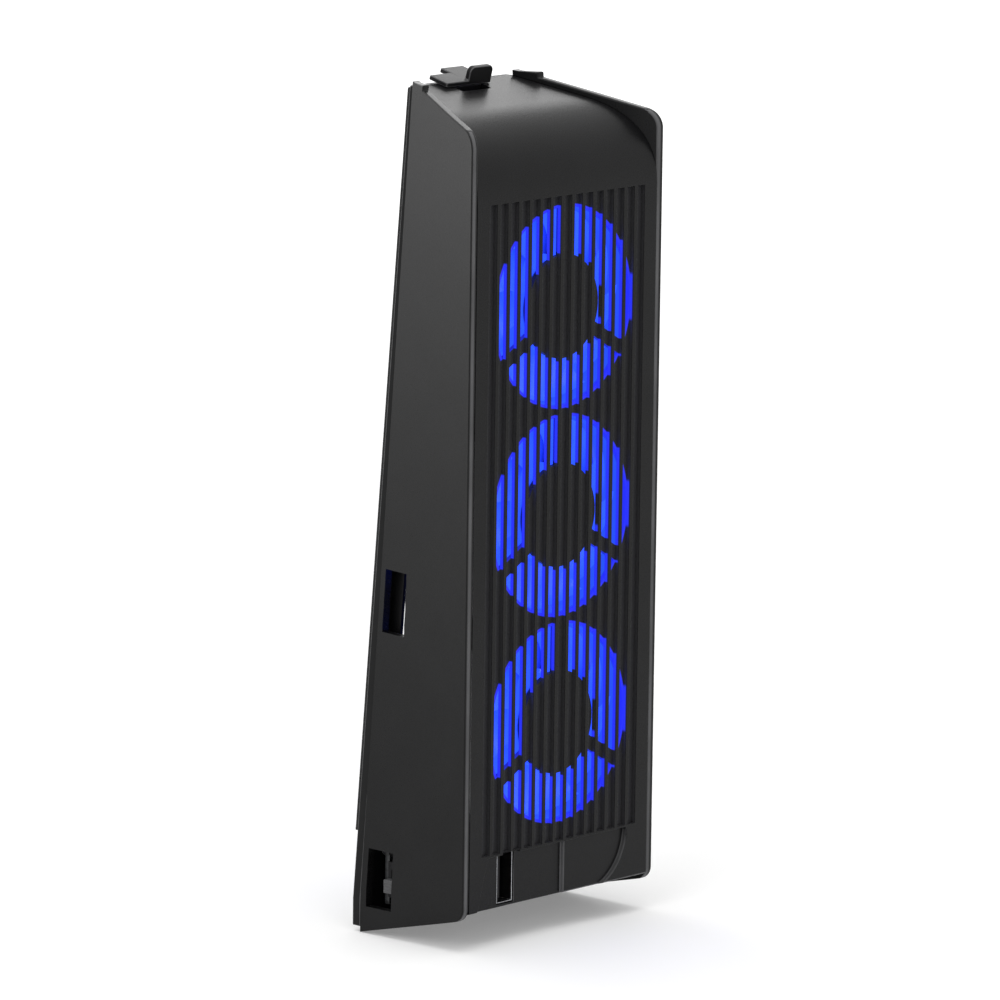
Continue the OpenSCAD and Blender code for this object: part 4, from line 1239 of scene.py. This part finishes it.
class COOLER_OT_leads(bpy.types.Operator):
    """Make the fan leads with their plugs and sockets"""

    bl_idname = "cooler.leads"
    bl_label = "Leads"

    def execute(self, context):
        small = context.scene.cooler_small
        lead_r = 0.7 * MM
        pitch = 1.6 * MM
        fan_board_x = -10 * MM
        lane_x = -24.4 * MM
        socket_x = (16 * MM, 10 * MM, 4 * MM)
        base_y = FAN_FRONT_Y + lead_r + 0.02 * MM
        turn_z = -74.1 * MM
        socket_y = MAIN_BOARD_BACK_Y - 2 * MM
        plug_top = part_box("lead_plugs")[1].z
        curve = bpy.data.curves.new("lead_routes", "CURVE")
        curve.dimensions = "3D"
        for i, fan in enumerate(FANS):
            lane_y = base_y + i * pitch
            low_z = turn_z - i * pitch
            fan_z = FAN_Z[fan]
            route = [(fan_board_x, base_y, fan_z), (lane_x, lane_y, fan_z), (lane_x, lane_y, low_z),
                     (socket_x[i], socket_y, low_z), (socket_x[i], socket_y, plug_top - 0.5 * MM)]
            line = curve.splines.new("POLY")
            line.points.add(len(route) - 1)
            for point, place in zip(line.points, route):
                point.co = (*place, 1)
        mesh = run_tree(TREES["lead"], curve, "fan_leads_finished", {
            "Bend": small.lead_bend, "Wire": small.wire_radius, "Material": PAINT["jacket"]})
        mesh.shade_smooth()
        stand_in("fan_leads", mesh)
        for node in ("lead_plugs", "lead_sockets"):
            rounded_piece(node, 0.25 * MM, "nylon")
        return {"FINISHED"}


def screw_mesh(small, shank_length):
    """A pan-head screw about +Z: its head stands on the XY plane and its shank hangs under it."""
    radius, height = small.head_radius, small.head_height
    shank_r = 0.8 * MM
    profile = [
        (0.3 * MM, -shank_length), (shank_r, -shank_length + 0.6 * MM), (shank_r, 0), (radius, 0),
        (radius, 0.35 * height), (0.94 * radius, 0.66 * height), (0.78 * radius, 0.88 * height),
        (0.52 * radius, height), (0.02 * MM, height),
    ]
    mesh = lathe_mesh("screw_one", profile, 24)
    head = new_object("screw_head", mesh)
    arms = []
    for turn in (0, math.pi / 2):
        arm = box_mesh("recess_arm", (-0.32 * MM, -0.5 * radius, height - 0.75 * MM),
                       (0.32 * MM, 0.5 * radius, height + MM), 0.05 * MM, 1)
        arm.transform(Matrix.Rotation(turn, 4, "Z"))
        holder = new_object("recess", arm)
        arms.append(holder)
        cut = head.modifiers.new("Recess", "BOOLEAN")
        cut.operation = "DIFFERENCE"
        cut.solver = "EXACT"
        cut.object = holder
    made = evaluated_mesh(head, "screw_cut")
    for holder in arms:
        bpy.data.objects.remove(holder)
    set_sharp(made, 35)
    return made


class COOLER_OT_screws(bpy.types.Operator):
    """Make the screws of the fans, boards and cover"""

    bl_idname = "cooler.screws"
    bl_label = "Screws"

    def execute(self, context):
        small = context.scene.cooler_small
        forward = (0, 1, 0)
        fan_seats = [((x * HOLE_HALF, FAN_FRONT_Y, FAN_Z[fan] + k * HOLE_HALF), forward)
                     for fan in FANS for x in (-1, 1) for k in (-1, 1)]
        board_seats = [((x * MM, MAIN_BOARD_FRONT_Y, z * MM), forward)
                       for x, z in ((24, -83), (-4.5, -82), (-29, -82))]
        board_seats += [((x * MM, PORT_BOARD_FRONT_Y, z * MM), forward)
                        for x, z in ((-23.5, -82), (-10.5, -90.9))]
        low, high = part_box("cover_screws")
        low_x = 22 * MM
        top_x = 11.9 * MM
        cover_seats = []
        for x, z in ((-low_x, low.z), (low_x, low.z), (-top_x, high.z), (top_x, high.z)):
            inset = small.head_radius if z < 0 else -small.head_radius
            cover_seats.append(((x, COVER_SEAT_Y, z + inset), forward))
        groups = {"fan_screws": (fan_seats, 5.5 * MM), "board_screws": (board_seats, 6 * MM),
                  "cover_screws": (cover_seats, 6 * MM)}
        for node, (seats, shank) in groups.items():
            stand_in(node, copies_on(node + "_finished", seats, screw_mesh(small, shank), PAINT["screw"]))
        return {"FINISHED"}


class COOLER_OT_stage(bpy.types.Operator):
    """Make the floor, the lights and the camera"""

    bl_idname = "cooler.stage"
    bl_label = "Stage"

    def execute(self, context):
        stage = context.scene.cooler_stage
        self.make_floor(stage)
        self.make_lights()
        self.make_camera(context, stage)
        context.scene.view_settings.view_transform = "Standard"
        return {"FINISHED"}

    def make_floor(self, stage):
        """A wide pale disc under the lowest point."""
        floor_r = 14
        cloud_size = 0.4
        gap = 0.1 * MM
        work = bmesh.new()
        bmesh.ops.create_circle(work, cap_ends=True, segments=96, radius=floor_r)
        mesh = bpy.data.meshes.new("floor")
        work.to_mesh(mesh)
        work.free()
        material, tree, shader = blank("floor_pale")
        place = object_place(tree)[0]
        cloud = noise(tree, place, cloud_size)
        tint = blend_colour(tree, cloud, shade(stage.floor_colour, 0.985), stage.floor_colour)
        surface(tree, shader, tint, 0.9, specular=0.1)
        out = add_node(tree, "ShaderNodeVectorMath", {0: place}, operation="LENGTH").outputs["Value"]
        lift = step(tree, out, 0.3, 2.5, 0.22, 0.6)
        light(shader, tree, (1, 1, 1), product(tree, seen_directly(tree), lift))
        mesh.materials.append(material)
        floor = new_object("floor", mesh)
        floor.location.z = cad_box[0].z - gap

    def make_lights(self):
        """A soft world and large soft panels."""
        world = bpy.data.worlds.new("studio")
        world.use_nodes = True
        back = world.node_tree.nodes["Background"]
        back.inputs["Color"].default_value = (1.0, 1.0, 1.0, 1)
        tree = world.node_tree
        tree.links.new(step(tree, seen_directly(tree), 0.0, 1.0, 0.5, 1.0), back.inputs["Strength"])
        bpy.context.scene.world = world
        panels = (
            ("overhead", (-0.1, -0.1, 1.6), 1.4, 15),
            ("top_sheen", (1.45, 1.25, 0.8), 0.8, 4),
            ("left_key", (-1.6, -0.4, 1.1), 1.0, 7),
            ("rear_fill", (-1.3, -1.9, 0.7), 1.0, 5),
            ("front_fill", (0.4, 1.9, 0.8), 1.0, 7),
        )
        for name, place, size, power in panels:
            data = bpy.data.lights.new(name, "AREA")
            data.shape = "SQUARE"
            data.size = size
            data.energy = power
            lamp = new_object(name, data)
            lamp.location = place
            lamp.rotation_mode = "QUATERNION"
            lamp.rotation_quaternion = (-Vector(place)).to_track_quat("-Z", "Y")

    def make_camera(self, context, stage):
        """The camera at the photograph's viewing angle."""
        data = bpy.data.cameras.new("camera")
        data.lens = stage.lens
        data.sensor_width = 36
        data.clip_start = 0.05
        data.clip_end = 100
        camera = new_object("camera", data)
        level = math.cos(stage.elevation)
        back = Vector((math.sin(stage.azimuth) * level, -math.cos(stage.azimuth) * level,
                       math.sin(stage.elevation)))
        aim = Vector((0, -17 * MM, 2 * MM))
        camera.location = aim + back * stage.distance
        camera.rotation_mode = "QUATERNION"
        camera.rotation_quaternion = Quaternion(back, stage.roll) @ (-back).to_track_quat("-Z", "Y")
        context.scene.camera = camera


class COOLER_PT_panel(bpy.types.Panel):
    """Settings and steps of the cooler"""

    bl_idname = "COOLER_PT_panel"
    bl_label = "Clip-on cooler"
    bl_space_type = "VIEW_3D"
    bl_region_type = "UI"
    bl_category = "Cooler"

    def draw(self, context):
        for group in ("cooler_finish", "cooler_fans", "cooler_small", "cooler_stage"):
            settings = getattr(context.scene, group)
            box = self.layout.box()
            for key in settings.__annotations__:
                box.prop(settings, key)
        for operator in OPERATORS:
            self.layout.operator(operator.bl_idname)


OPERATORS = (
    COOLER_OT_finishes, COOLER_OT_shell, COOLER_OT_cheeks, COOLER_OT_front, COOLER_OT_fan_frames,
    COOLER_OT_rotors, COOLER_OT_motors, COOLER_OT_lamps, COOLER_OT_boards, COOLER_OT_port, COOLER_OT_plug,
    COOLER_OT_switch, COOLER_OT_latch, COOLER_OT_leads, COOLER_OT_screws, COOLER_OT_stage,
)
SETTINGS = {
    "cooler_finish": CoolerFinish,
    "cooler_fans": CoolerFans,
    "cooler_small": CoolerSmall,
    "cooler_stage": CoolerStage,
}


def register():
    """Registers the settings, the operators and the panel."""
    for name, group in SETTINGS.items():
        bpy.utils.register_class(group)
        setattr(bpy.types.Scene, name, bpy.props.PointerProperty(type=group))
    for operator in OPERATORS:
        bpy.utils.register_class(operator)
    bpy.utils.register_class(COOLER_PT_panel)


def unregister():
    """Removes what register added."""
    bpy.utils.unregister_class(COOLER_PT_panel)
    for operator in reversed(OPERATORS):
        bpy.utils.unregister_class(operator)
    for name, group in SETTINGS.items():
        delattr(bpy.types.Scene, name)
        bpy.utils.unregister_class(group)


def main():
    """Builds every piece and the stage."""
    register()
    for operator in OPERATORS:
        group, name = operator.bl_idname.split(".")
        getattr(getattr(bpy.ops, group), name)()


if __name__ == "__main__":
    main()
